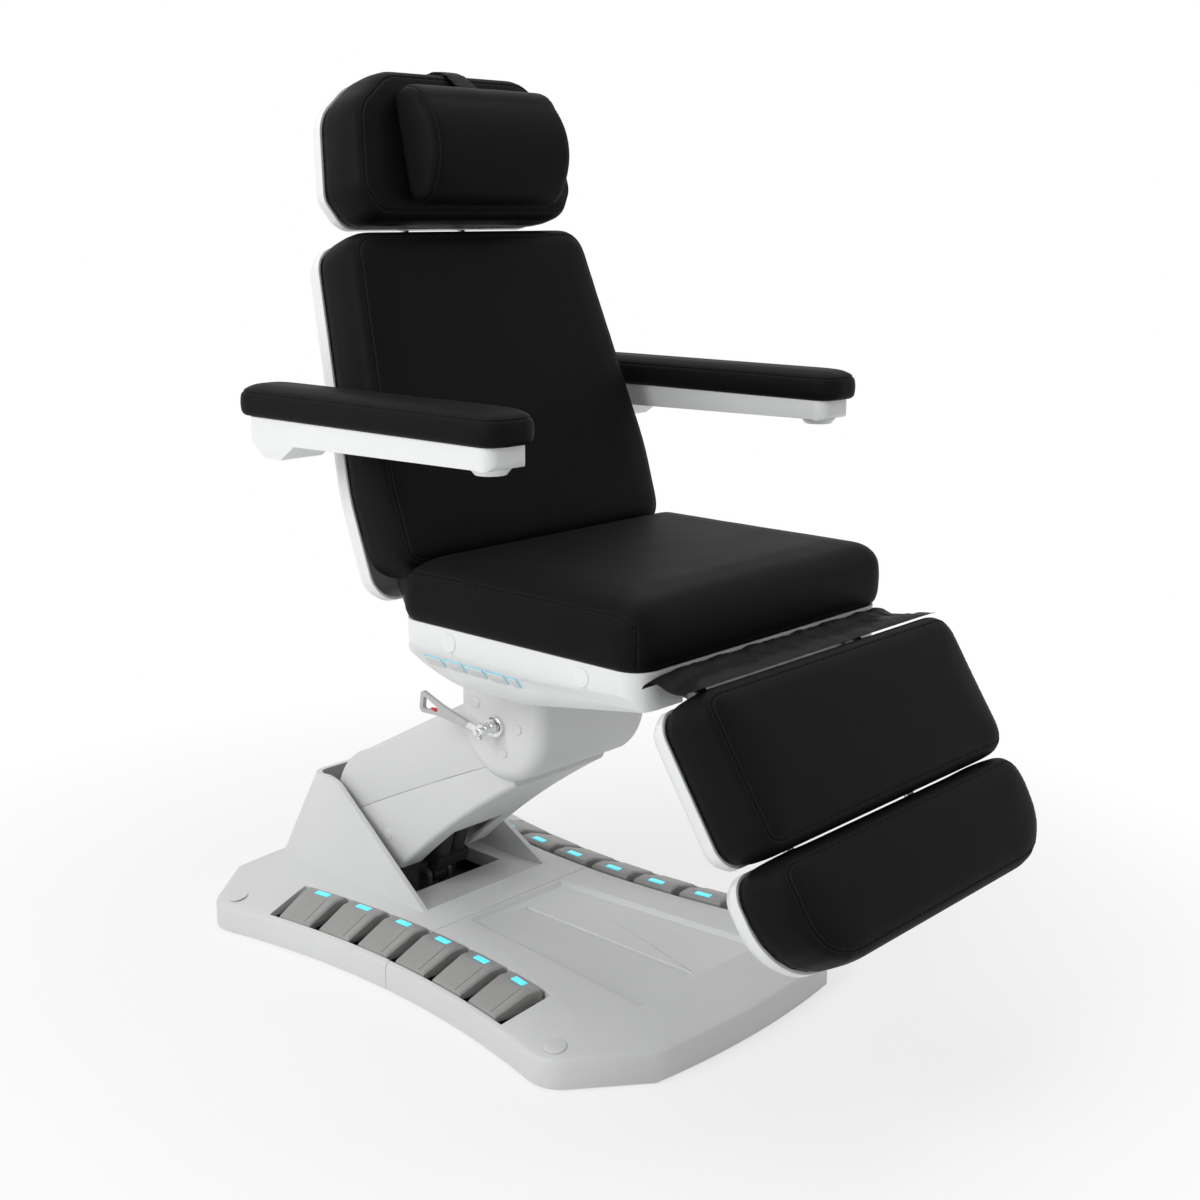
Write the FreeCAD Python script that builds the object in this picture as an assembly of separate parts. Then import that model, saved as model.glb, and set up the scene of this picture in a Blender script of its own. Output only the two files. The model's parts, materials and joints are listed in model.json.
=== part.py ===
import FreeCAD, Part
import os
from math import atan2, cos, degrees, hypot, radians, sin, sqrt

# Reclining procedure chair: a floor base with foot pedals and a tower, a lift arm
# with a parallel link, a swivel seat, and hinged back, leg, head and arm rests.
# Millimetres. X runs across the chair, -Y is the front, +Z is up.
# The origin is the middle of the base on the floor.

os.makedirs("parts", exist_ok=True)

# Base covers and steel base plate
BASE_LENGTH = 1068.0
BASE_WAIST = 582.0
SIDE_RADIUS = 1576.0
FRONT_WIDTH = 428.0
FRONT_RISE = 16.0
CHAMFER_ANGLE = 39.0
CORNER_RADIUS = 60.0
RIM_HEIGHT = 51.0
RIM_ROUND = 11.0
DECK_HEIGHT = 70.0
DECK_INSET = 95.0
COVER_WALL = 5.0
COVER_ROOF = 9.0
COVER_LIFT = 2.0
COVER_SPLIT = 0.6
RECESS_BACK_WIDTH = 226.0
RECESS_FRONT_WIDTH = 300.0
RECESS_BACK = 8.0
RECESS_LENGTH = 422.0
RECESS_DEPTH = 9.0
RECESS_SLOPE = 6.0
GROOVE_WIDTH = 7.0
GROOVE_DEPTH = 2.5
FOOT_HEIGHT = 8.0
FOOT_RADIUS = 22.0
FOOT_X = 268.0
FOOT_Y = 385.0
PLATE_THICKNESS = 8.0
PLATE_GAP = 2.0
INLET_WIDTH = 48.0
INLET_HEIGHT = 22.0

# Pedals along both sides, fanned about the centre of the side curve
PEDAL_COUNT = 6
PEDAL_PITCH_DEG = 3.4
PEDAL_INNER_RADIUS = 1674.0
PEDAL_LENGTH = 86.0
PEDAL_INNER_WIDTH = 82.0
PEDAL_TIP_WIDTH = 72.0
PEDAL_TOP = 76.0
PEDAL_TIP_TOP = 55.0
PEDAL_BOTTOM = 43.0
PEDAL_FLAT = 27.0
PEDAL_PIN_RADIUS = 3.0
PEDAL_PIN_INSET = 12.0
PEDAL_PIN_HEIGHT = 52.0
PEDAL_TRAVEL_GAP = 7.0
TRAY_FLOOR = 5.0
TRAY_GAP = 0.5
TRAY_MARGIN = 6.0
LENS_LENGTH = 30.0
LENS_WIDTH = 12.0
LENS_DEPTH = 1.2

# Tower moulded on the rear cover
TOWER_TOP_WIDTH = 256.0
TOWER_FOOT_WIDTH = 300.0
TOWER_TOP = 240.0
TOWER_FRONT = 62.0
TOWER_BACK = 482.0
TOWER_CREST_FRONT = 300.0
TOWER_CREST_BACK = 402.0
TOWER_WALL = 10.0
TOWER_CORNER = 34.0

# Lift arm: two pivots, the rest angle and the covers round it
LOWER_PIVOT_Y = 300.0
LOWER_PIVOT_Z = 163.0
ARM_LENGTH = 488.7
ARM_ANGLE = 34.24
LINK_OFFSET = 55.0
BEAM_PLATE_X = 60.0
BEAM_PLATE = 10.0
BEAM_WIDTH = 66.0
LINK_PLATE_X = 76.0
LINK_PLATE = 8.0
LINK_WIDTH = 30.0
LUG_X = 88.0
LUG_PLATE = 10.0
ARM_COVER_HALF = 107.0
ARM_COVER_WALL = 6.0
ARM_COVER_SPLIT = 0.8
PIN_RADIUS = 12.0
LINK_PIN_RADIUS = 8.0
RUN_CLEARANCE = 0.05

# Lift actuator between the base plate and the beam
ACTUATOR_FOOT_Y = 205.0
ACTUATOR_FOOT_Z = 60.0
ACTUATOR_REACH = 200.0
ACTUATOR_TUBE_RADIUS = 18.0
ACTUATOR_TUBE_LENGTH = 150.0
ACTUATOR_ROD_RADIUS = 9.0
MOTOR_RADIUS = 16.0
EYE_PIN_RADIUS = 7.0
EYE_SLACK = 4.0

# Yoke at the top of the arm
YOKE_HALF = 130.0
YOKE_CHEEK = 18.0
YOKE_RADIUS = 97.0
YOKE_RISE = 67.0
YOKE_ROUND = 27.0
YOKE_ROOF = 22.0
YOKE_WALL = 8.0
RING_RADIUS = 74.0
RING_HEIGHT = 12.0
SOCKET_RADIUS = 17.0
SOCKET_REACH = 8.0

# Swivel lock lever
LEVER_REACH = 38.0
LEVER_LENGTH = 138.0
LEVER_RISE_DEG = 9.0
LEVER_THICKNESS = 8.0

# Seat, placed from the top of the yoke and the swivel's axis
SEAT_WIDTH = 600.0
SEAT_LENGTH = 496.0
SEAT_BEHIND = 48.0
SEAT_DEPTH = 73.0
SEAT_CROWN = 24.0
SEAT_CORNER = 42.0
TRAY_HALF = 290.0
TRAY_RISE = 25.0
TRAY_BEVEL = 77.0
TRAY_BAND = 33.0
TRAY_BOTTOM_HALF = 231.0
TRAY_INSET = 4.0
TRAY_WALL = 5.0
HUB_RADIUS = 50.0
HUB_HOLE = 78.0
SEAT_PLATE = 6.0
SEAT_PLATE_DROP = 34.0
RING_GAP = 0.3

# Buttons along the tray's near bevel
BUTTON_COUNT = 5
BUTTON_FIRST = 9.0
BUTTON_PITCH = 45.5
BUTTON_LENGTH = 38.0
BUTTON_LAST_LENGTH = 18.0
BUTTON_WIDTH = 20.0
BUTTON_PROUD = 2.5
BUTTON_DEPTH = 12.0
BUTTON_DROP = 40.0
BUTTON_GAP = 0.3

# Backrest, placed from the swivel's axis and the seat's board
BACK_LEAN = 18.0
BACK_BEHIND = 19.0
BACK_RISE = 60.0
BACK_LOW_HALF = 298.0
BACK_MID_HALF = 303.0
BACK_TOP_HALF = 256.0
BACK_LOW = 6.0
BACK_MID = 150.0
BACK_TOP = 540.0
BACK_DEPTH = 82.0
BACK_CROWN = 16.0
BACK_CORNER = 48.0
BACK_PIVOT_S = -41.0
BACK_PIVOT_DEPTH = 81.0
BACK_SHELL_LOW = -25.0
BACK_SHELL_DEPTH = 36.0
SHELL_DEPTH = 30.0
SHELL_WALL = 4.0
SHELL_GAP = 0.4
BACK_EAR_X = 224.0
EAR_PLATE = 8.0
EAR_GAP = 2.0
HINGE_PIN_RADIUS = 8.0
EAR_RADIUS = 13.0

# Armrests
ARM_PIVOT_S = 240.0
ARM_PIVOT_DEPTH = 99.0
ARM_TUBE_RADIUS = 10.0
ARM_INNER = 325.0
ARM_PAD_WIDTH = 95.0
ARM_PAD_LENGTH = 574.0
ARM_PAD_BEHIND = 80.0
ARM_PAD_RISE = 43.0
ARM_PAD_HEIGHT = 42.0
ARM_BRACKET_INSET = 9.0
ARM_BRACKET_DEPTH = 33.0
ARM_HUB_RADIUS = 17.0
ARM_HUB_GAP = 2.0
ARM_DISC_REACH = 56.0
ARM_DISC_RADIUS = 29.0

# Headrest and its pillow
HEAD_LEAN = 12.0
HEAD_BEHIND = 170.0
HEAD_RISE = 600.0
HEAD_LOW = -76.0
HEAD_WIDE = -28.0
HEAD_LOW_HALF = 205.0
HEAD_HALF = 236.0
HEAD_SHOULDER = 104.0
HEAD_SHOULDER_HALF = 218.0
HEAD_TOP = 158.0
HEAD_TOP_HALF = 150.0
HEAD_DEPTH = 82.0
HEAD_CROWN = 14.0
POST_X = 62.0
POST_RADIUS = 6.0
POST_DEPTH = 100.0
HEAD_POST_DEPTH = 97.0
POST_LOW = 300.0
POST_HIGH = 55.0
POST_BLOCK_LOW = 396.0
POST_BLOCK_HEIGHT = 46.0
PILLOW_HALF = 150.0
PILLOW_LOW = -56.0
PILLOW_HIGH = 116.0
PILLOW_DEPTH = 84.0
PILLOW_GAP = 0.6
STRAP_WIDTH = 42.0
STRAP_THICKNESS = 2.5

# Leg rest and foot rest share one plane
LEG_LEAN = 33.0
LEG_AHEAD = 188.0
LEG_DROP = 140.0
LEG_HALF = 303.0
LEG_PIVOT_S = 177.5
LEG_PIVOT_DEPTH = 97.0
CALF_LOW = -62.0
CALF_HIGH = 170.0
CALF_DEPTH = 80.0
CALF_CROWN = 14.0
CALF_CORNER = 40.0
FOOT_PAD_LOW = -226.0
FOOT_PAD_HIGH = -64.0
FOOT_PAD_CORNER = 98.0
LEG_EAR_X = 190.0
GAITER_HALF = 284.0
RAIL_X = 150.0
RAIL_RADIUS = 8.0
RAIL_HIGH = 132.0
RAIL_BLOCK = 52.0


# General helpers

def vec(x, y, z):
    return FreeCAD.Vector(x, y, z)


def save(name, shape):
    shape.exportStep("parts/%s.step" % name)


def group(solids):
    return Part.makeCompound(list(solids))


def lift_point(plane, level, point):
    first, second = point
    if plane == "x":
        return vec(level, first, second)
    if plane == "y":
        return vec(first, level, second)
    return vec(first, second, level)


def profile(items, plane="z", level=0.0):
    """Closed wire: a pair is a line's end, four numbers are an arc's middle and end."""
    edges = []
    here = items[0]
    for item in list(items[1:]) + [items[0]]:
        end = item[-2:]
        start_point = lift_point(plane, level, here)
        end_point = lift_point(plane, level, end)
        if len(item) == 4:
            middle = lift_point(plane, level, item[:2])
            edges.append(Part.Arc(start_point, middle, end_point).toShape())
        elif (start_point - end_point).Length > 1e-6:
            edges.append(Part.LineSegment(start_point, end_point).toShape())
        here = end
    return Part.Wire(edges)


def prism(items, plane, low, high):
    face = Part.Face(profile(items, plane, low))
    run = {"x": vec(high - low, 0, 0), "y": vec(0, high - low, 0), "z": vec(0, 0, high - low)}
    return face.extrude(run[plane])


def block(x0, x1, y0, y1, z0, z1):
    return Part.makeBox(x1 - x0, y1 - y0, z1 - z0, vec(x0, y0, z0))


def rod_x(y, z, radius, x0, x1):
    return Part.makeCylinder(radius, x1 - x0, vec(x0, y, z), vec(1, 0, 0))


def mirror_x(shape):
    return shape.mirror(vec(0, 0, 0), vec(1, 0, 0))


def both_sides(shape):
    return [shape, mirror_x(shape)]


def stadium(start, end, radius, x0, x1):
    """Plate in the YZ plane with round ends about two points."""
    length = hypot(end[0] - start[0], end[1] - start[1])
    along = ((end[0] - start[0]) / length, (end[1] - start[1]) / length)
    across = (-along[1], along[0])

    def at(point, run, side):
        return (point[0] + radius * (run * along[0] + side * across[0]),
                point[1] + radius * (run * along[1] + side * across[1]))

    outline = [at(start, 0, 1), at(start, -1, 0) + at(start, 0, -1),
               at(end, 0, -1), at(end, 1, 0) + at(end, 0, 1)]
    return prism(outline, "x", x0, x1)


def inset_corners(corners, distance):
    """Corners of a polygon (counter-clockwise) with every side moved inwards."""
    count = len(corners)
    lines = []
    for index in range(count):
        ax, ay = corners[index]
        bx, by = corners[(index + 1) % count]
        length = hypot(bx - ax, by - ay)
        ux, uy = (bx - ax) / length, (by - ay) / length
        lines.append((ax - uy * distance, ay + ux * distance, ux, uy))
    moved = []
    for index in range(count):
        px, py, ux, uy = lines[index - 1]
        qx, qy, wx, wy = lines[index]
        cross = ux * wy - uy * wx
        run = ((qx - px) * wy - (qy - py) * wx) / cross
        moved.append((px + ux * run, py + uy * run))
    return moved


def rounded_wire(corners, radii, level, steps=0):
    """Polygon with round corners, each an arc or, on soft pads, a few straight steps."""
    count = len(corners)
    turns = []
    for index, (x, y) in enumerate(corners):
        corner = vec(x, y, level)
        back = (vec(*corners[index - 1], level) - corner).normalize()
        ahead = (vec(*corners[(index + 1) % count], level) - corner).normalize()
        half_turn = 0.5 * back.getAngle(ahead)
        reach = radii[index] * cos(half_turn) / sin(half_turn)
        middle = corner + (back + ahead).normalize() * (radii[index] / sin(half_turn) - radii[index])
        turns.append(Part.Arc(corner + back * reach, middle, corner + ahead * reach).toShape())
    paths = [arc.discretize(max(steps, 1) + 1) for arc in turns]
    edges = []
    for index, path in enumerate(paths):
        if steps:
            edges += [Part.LineSegment(start, end).toShape() for start, end in zip(path, path[1:])]
        else:
            edges.append(turns[index])
        edges.append(Part.LineSegment(path[-1], paths[(index + 1) % count][0]).toShape())
    return Part.Wire(edges)


def pad(corners, radii, levels, steps=0):
    """Solid through rounded outlines; levels are (height, inset) pairs."""
    wires = []
    for height, inset in levels:
        moved = inset_corners(corners, inset)
        kept = [max(radius - inset, 4.0) for radius in radii]
        wires.append(rounded_wire(moved, kept, height, steps))
    return Part.makeLoft(wires, True, True)


CUSHION_STEPS = 5


def cushion(corners, radii, depth, crown, reach=70.0):
    """Soft pad from its board to its crown: drawn in at the board, full above it, rounded at the seam."""
    levels = [(-depth, 8.0), (-0.8 * depth, 1.5), (-0.4 * depth, 0.0), (-0.08 * depth, 2.0),
              (0.3 * crown, 0.13 * reach), (0.75 * crown, 0.36 * reach), (crown, reach)]
    return pad(corners, radii, levels, CUSHION_STEPS)


def lean_back(shape, lean, y, z):
    """Stands a pad up: its own Y runs up the slope and its own Z faces the front."""
    placed = shape.copy()
    placed.rotate(vec(0, 0, 0), vec(1, 0, 0), 90.0 - lean)
    placed.translate(vec(0, y, z))
    return placed


def on_slope(lean, y, z, along, depth):
    """Place in the YZ plane of a point on a leaning pad, depth behind its seam."""
    return (y + along * sin(radians(lean)) + depth * cos(radians(lean)),
            z + along * cos(radians(lean)) - depth * sin(radians(lean)))


def edges_at(shape, test):
    return [edge for edge in shape.Edges if test(edge)]


def is_upright(edge):
    ends = [vertex.Point for vertex in edge.Vertexes]
    if len(ends) != 2:
        return False
    return abs(ends[0].x - ends[1].x) < 1e-4 and abs(ends[0].y - ends[1].y) < 1e-4


# Arm geometry shared by base, arm, link and yoke
ARM_RUN = (-cos(radians(ARM_ANGLE)), sin(radians(ARM_ANGLE)))
ARM_BELOW = (-sin(radians(ARM_ANGLE)), -cos(radians(ARM_ANGLE)))
LOWER_PIVOT = (LOWER_PIVOT_Y, LOWER_PIVOT_Z)
UPPER_PIVOT = (LOWER_PIVOT_Y + ARM_LENGTH * ARM_RUN[0], LOWER_PIVOT_Z + ARM_LENGTH * ARM_RUN[1])
LOWER_LINK = (LOWER_PIVOT[0] + LINK_OFFSET * ARM_BELOW[0], LOWER_PIVOT[1] + LINK_OFFSET * ARM_BELOW[1])
UPPER_LINK = (UPPER_PIVOT[0] + LINK_OFFSET * ARM_BELOW[0], UPPER_PIVOT[1] + LINK_OFFSET * ARM_BELOW[1])
ACTUATOR_FOOT = (ACTUATOR_FOOT_Y, ACTUATOR_FOOT_Z)
ACTUATOR_HEAD = (LOWER_PIVOT[0] + ACTUATOR_REACH * ARM_RUN[0],
                 LOWER_PIVOT[1] + ACTUATOR_REACH * ARM_RUN[1])
PLATE_TOP = FOOT_HEIGHT + PLATE_THICKNESS
INLET_MIDDLE = PLATE_TOP + 14.0
SIDE_CENTRE_X = BASE_WAIST / 2 + SIDE_RADIUS

# Places above the arm follow its upper pivot
SWIVEL_Y = UPPER_PIVOT[0]
YOKE_TOP = UPPER_PIVOT[1] + YOKE_RISE
TRAY_BOTTOM = YOKE_TOP + TRAY_RISE
TRAY_CREASE = TRAY_BOTTOM + TRAY_BEVEL
SEAT_BOTTOM = TRAY_CREASE + TRAY_BAND
SEAT_SEAM = SEAT_BOTTOM + SEAT_DEPTH
SEAT_PLATE_Z = SEAT_BOTTOM - SEAT_PLATE_DROP
SEAT_BACK = SWIVEL_Y + SEAT_BEHIND
SEAT_FRONT = SEAT_BACK - SEAT_LENGTH
TRAY_FRONT = SEAT_FRONT + TRAY_INSET
TRAY_REAR = SEAT_BACK + TRAY_INSET / 2
BUTTON_FIRST_Y = SWIVEL_Y - BUTTON_FIRST
BACK_Y = SWIVEL_Y + BACK_BEHIND
BACK_Z = SEAT_BOTTOM + BACK_RISE
HEAD_Y = BACK_Y + HEAD_BEHIND
HEAD_Z = BACK_Z + HEAD_RISE
LEG_Y = SEAT_FRONT - LEG_AHEAD
LEG_Z = SEAT_BOTTOM - LEG_DROP
ARM_PIVOT = on_slope(BACK_LEAN, BACK_Y, BACK_Z, ARM_PIVOT_S, ARM_PIVOT_DEPTH)
ARM_PAD_BACK = ARM_PIVOT[0] + ARM_PAD_BEHIND
ARM_PAD_FRONT = ARM_PAD_BACK - ARM_PAD_LENGTH
ARM_PAD_BOTTOM = ARM_PIVOT[1] + ARM_PAD_RISE
ARM_BRACKET_BOTTOM = ARM_PAD_BOTTOM - ARM_BRACKET_DEPTH
ARM_DISC_Y = ARM_PAD_FRONT + ARM_DISC_REACH


# Base covers

def base_solid(inset, low, high):
    """Prism of the base outline moved inwards, with its upright corners rounded."""
    front = BASE_LENGTH / 2 - inset
    seam = front - FRONT_RISE
    slope = radians(CHAMFER_ANGLE)
    seam_x = FRONT_WIDTH / 2 - inset * (1 - cos(slope)) / sin(slope)
    radius = SIDE_RADIUS + inset
    # The bevel meets the side curve where both reach the same point.
    step_x, step_y = cos(slope), sin(slope)
    gap_x = seam_x - SIDE_CENTRE_X
    half = gap_x * step_x - seam * step_y
    run = -half - sqrt(half * half - (gap_x * gap_x + seam * seam - radius * radius))
    side_x = seam_x + run * step_x
    side_y = seam - run * step_y
    waist = SIDE_CENTRE_X - radius
    outline = [(-seam_x, -seam), (0, -front, seam_x, -seam), (side_x, -side_y),
               (waist, 0, side_x, side_y), (seam_x, seam), (0, front, -seam_x, seam),
               (-side_x, side_y), (-waist, 0, -side_x, -side_y)]
    solid = prism(outline, "z", low, high)
    corners = edges_at(solid, lambda e: is_upright(e) and abs(e.Vertexes[0].X) > seam_x + 20)
    return solid.makeFillet(max(CORNER_RADIUS - inset, 8.0), corners)


def bottom_wire(solid):
    return min(solid.Faces, key=lambda face: face.CenterOfMass.z).OuterWire


def base_body():
    """Base from its lower edge over a rounded rim and up a slight slope to the deck."""
    steps = [(0.0, COVER_LIFT), (0.0, RIM_HEIGHT - RIM_ROUND), (0.3 * RIM_ROUND, RIM_HEIGHT - 0.3 * RIM_ROUND),
             (RIM_ROUND, RIM_HEIGHT), (DECK_INSET, DECK_HEIGHT)]
    wires = [bottom_wire(base_solid(inset, level, level + 1.0)) for inset, level in steps]
    return Part.makeLoft(wires, True, True)


def sector(inner, outer, half_angle, low, high):
    """Strip that follows the side curve, on the +X side."""
    def at(radius, angle):
        return (SIDE_CENTRE_X - radius * cos(angle), radius * sin(angle))

    return prism([at(inner, -half_angle), at(inner, 0) + at(inner, half_angle),
                  at(outer, half_angle), at(outer, 0) + at(outer, -half_angle)], "z", low, high)


TRAY_TOP = PEDAL_BOTTOM - PEDAL_TRAVEL_GAP
PEDAL_HALF_SPAN = radians(PEDAL_PITCH_DEG * PEDAL_COUNT / 2)
PEDAL_TIP_RADIUS = PEDAL_INNER_RADIUS - PEDAL_LENGTH
POCKET_INNER = PEDAL_TIP_RADIUS - 2.0
POCKET_OUTER = PEDAL_INNER_RADIUS + TRAY_MARGIN


def tower_solid(inset):
    """Tower with rounded rear corners; the inset one is the space inside, open to the front and top."""
    low, high = DECK_HEIGHT - 10.0, TOWER_TOP + 60.0
    taper = (TOWER_FOOT_WIDTH - TOWER_TOP_WIDTH) / 2 / (TOWER_TOP - DECK_HEIGHT)
    back_run = (TOWER_BACK - TOWER_CREST_BACK) / (TOWER_TOP - DECK_HEIGHT)
    front = TOWER_FRONT - 60.0
    wires = []
    for level in (low, high):
        half = TOWER_FOOT_WIDTH / 2 - taper * (level - DECK_HEIGHT) - inset
        back = TOWER_BACK - back_run * (level - DECK_HEIGHT) - inset
        wires.append(profile([(-half, front), (half, front), (half, back), (-half, back)], "z", level))
    solid = Part.makeLoft(wires, True, True)
    rear = edges_at(solid, lambda e: e.BoundBox.ZLength > 100 and e.BoundBox.YMin > front + 100)
    solid = solid.makeFillet(TOWER_CORNER - inset, rear)
    if inset:
        return solid.cut(block(-400, 400, TOWER_FRONT - 200, TOWER_FRONT + 4, 0, 500))
    slope = (TOWER_TOP - 16.0 - DECK_HEIGHT) / (TOWER_CREST_FRONT - TOWER_FRONT)
    side = [(TOWER_FRONT - 10.0 / slope, low), (TOWER_BACK + 90.0, low), (TOWER_BACK + 90.0, TOWER_TOP - 8.0),
            (TOWER_CREST_BACK - 10.0, TOWER_TOP), (TOWER_CREST_FRONT + 62.0, TOWER_TOP + 2.0),
            (TOWER_CREST_FRONT + 30.0, TOWER_TOP - 1.0, TOWER_CREST_FRONT, TOWER_TOP - 16.0)]
    return solid.common(prism(side, "x", -TOWER_FOOT_WIDTH, TOWER_FOOT_WIDTH))


def base_covers():
    body = base_body()
    body = body.fuse(tower_solid(0.0))
    body = body.cut(tower_solid(TOWER_WALL).cut(block(-400, 400, -600, 600, 0, DECK_HEIGHT - 1.0)))
    hollow = base_solid(COVER_WALL, -1.0, RIM_HEIGHT - COVER_ROOF)
    body = body.cut(hollow)
    pocket = sector(POCKET_INNER, POCKET_OUTER, PEDAL_HALF_SPAN + 0.006, 0.0, 200.0)
    for side in both_sides(pocket):
        body = body.cut(side)
    well = block(-LUG_X - LUG_PLATE - 8, LUG_X + LUG_PLATE + 8, ACTUATOR_FOOT_Y - 60,
                 LOWER_PIVOT_Y + 46, 0, DECK_HEIGHT + 5)
    body = body.cut(well)
    floor = DECK_HEIGHT - RECESS_DEPTH
    back, front = -RECESS_BACK, -RECESS_BACK - RECESS_LENGTH
    half_back, half_front = RECESS_BACK_WIDTH / 2, RECESS_FRONT_WIDTH / 2
    outline = [(-half_front, front), (half_front, front), (half_back, back), (-half_back, back)]
    high = profile(outline, "z", DECK_HEIGHT + 0.01)
    low = profile(inset_corners(outline, RECESS_SLOPE), "z", floor)
    body = body.cut(Part.makeLoft([low, high], True, True))
    groove = block(-GROOVE_WIDTH / 2, GROOVE_WIDTH / 2, front + 24, back - 26,
                   floor - GROOVE_DEPTH, floor + 1)
    body = body.cut(groove)
    body = body.cut(block(-INLET_WIDTH / 2 - 0.3, INLET_WIDTH / 2 + 0.3, BASE_LENGTH / 2 - 40, BASE_LENGTH / 2 + 40,
                          INLET_MIDDLE - INLET_HEIGHT / 2 - 0.3, INLET_MIDDLE + INLET_HEIGHT / 2 + 0.3))
    front_half = body.common(block(-500, 500, -700, -COVER_SPLIT / 2, -10, 400))
    rear_half = body.common(block(-500, 500, COVER_SPLIT / 2, 700, -10, 400))
    save("base_cover_front", front_half.removeSplitter())
    save("base_cover_rear", rear_half.removeSplitter())


# Steel base plate with the tower's brackets and the actuator's clevis

def base_plate():
    plate = base_solid(COVER_WALL + PLATE_GAP, FOOT_HEIGHT, PLATE_TOP)
    pieces = []
    for x0 in (LUG_X, -LUG_X - LUG_PLATE):
        post = stadium(LOWER_PIVOT, (LOWER_PIVOT_Y - 4, PLATE_TOP + 10), 33.0, x0, x0 + LUG_PLATE)
        brace = stadium(LOWER_LINK, (LOWER_LINK[0] + 6, PLATE_TOP + 10), 18.0, x0, x0 + LUG_PLATE)
        pieces += [post, brace]
    for x0 in (20.0, -28.0):
        pieces.append(stadium(ACTUATOR_FOOT, (ACTUATOR_FOOT_Y, PLATE_TOP + 5), 15.0, x0, x0 + 8.0))
    for piece in pieces:
        plate = plate.fuse(piece)
    plate = plate.cut(block(-200, 200, -300, 450, -60, FOOT_HEIGHT))
    plate = plate.cut(rod_x(LOWER_PIVOT[0], LOWER_PIVOT[1], PIN_RADIUS, -150, 150))
    plate = plate.cut(rod_x(LOWER_LINK[0], LOWER_LINK[1], LINK_PIN_RADIUS, -150, 150))
    plate = plate.cut(rod_x(ACTUATOR_FOOT[0], ACTUATOR_FOOT[1], EYE_PIN_RADIUS, -150, 150))
    save("base_plate", plate.removeSplitter())


def base_pins():
    reach = LUG_X + LUG_PLATE
    pins = [rod_x(LOWER_PIVOT[0], LOWER_PIVOT[1], PIN_RADIUS, -reach, reach)]
    pins += both_sides(rod_x(LOWER_LINK[0], LOWER_LINK[1], LINK_PIN_RADIUS, LINK_PLATE_X - 1, reach))
    pins.append(rod_x(ACTUATOR_FOOT[0], ACTUATOR_FOOT[1], EYE_PIN_RADIUS, -28.0, 28.0))
    save("tower_pins", group(pins))


def levelling_feet():
    feet = []
    for x in (-FOOT_X, FOOT_X):
        for y in (-FOOT_Y, FOOT_Y):
            feet.append(Part.makeCone(FOOT_RADIUS, FOOT_RADIUS - 4, FOOT_HEIGHT, vec(x, y, 0)))
    feet.append(Part.makeCone(FOOT_RADIUS, FOOT_RADIUS - 4, FOOT_HEIGHT, vec(0, 0, 0)))
    save("levelling_feet", group(feet))


def mains_inlet():
    """Socket for a detachable mains lead, low on the back of the base."""
    back = BASE_LENGTH / 2
    low, high = INLET_MIDDLE - INLET_HEIGHT / 2, INLET_MIDDLE + INLET_HEIGHT / 2
    body = block(-INLET_WIDTH / 2, INLET_WIDTH / 2, back - 30, back + 1.5, low, high)
    cavity = block(-14, 14, back - 12, back + 5, low + 3.5, high - 3.5)
    foot = block(-INLET_WIDTH / 2, INLET_WIDTH / 2, back - 30, back - 12, PLATE_TOP, low)
    return body.fuse(foot).cut(cavity).removeSplitter()


# Pedals: built on the +X side about the middle of the side curve

def fan(shape, angle_deg, near_side):
    """Turns a piece about the centre of the side curve, then to the near side."""
    placed = shape.copy()
    placed.rotate(vec(SIDE_CENTRE_X, 0, 0), vec(0, 0, 1), -angle_deg)
    return mirror_x(placed) if near_side else placed


PEDAL_X = SIDE_CENTRE_X - PEDAL_INNER_RADIUS
PIN_X = PEDAL_X + PEDAL_PIN_INSET
PEDAL_ANGLES = [PEDAL_PITCH_DEG * (index - (PEDAL_COUNT - 1) / 2) for index in range(PEDAL_COUNT)]


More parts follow.
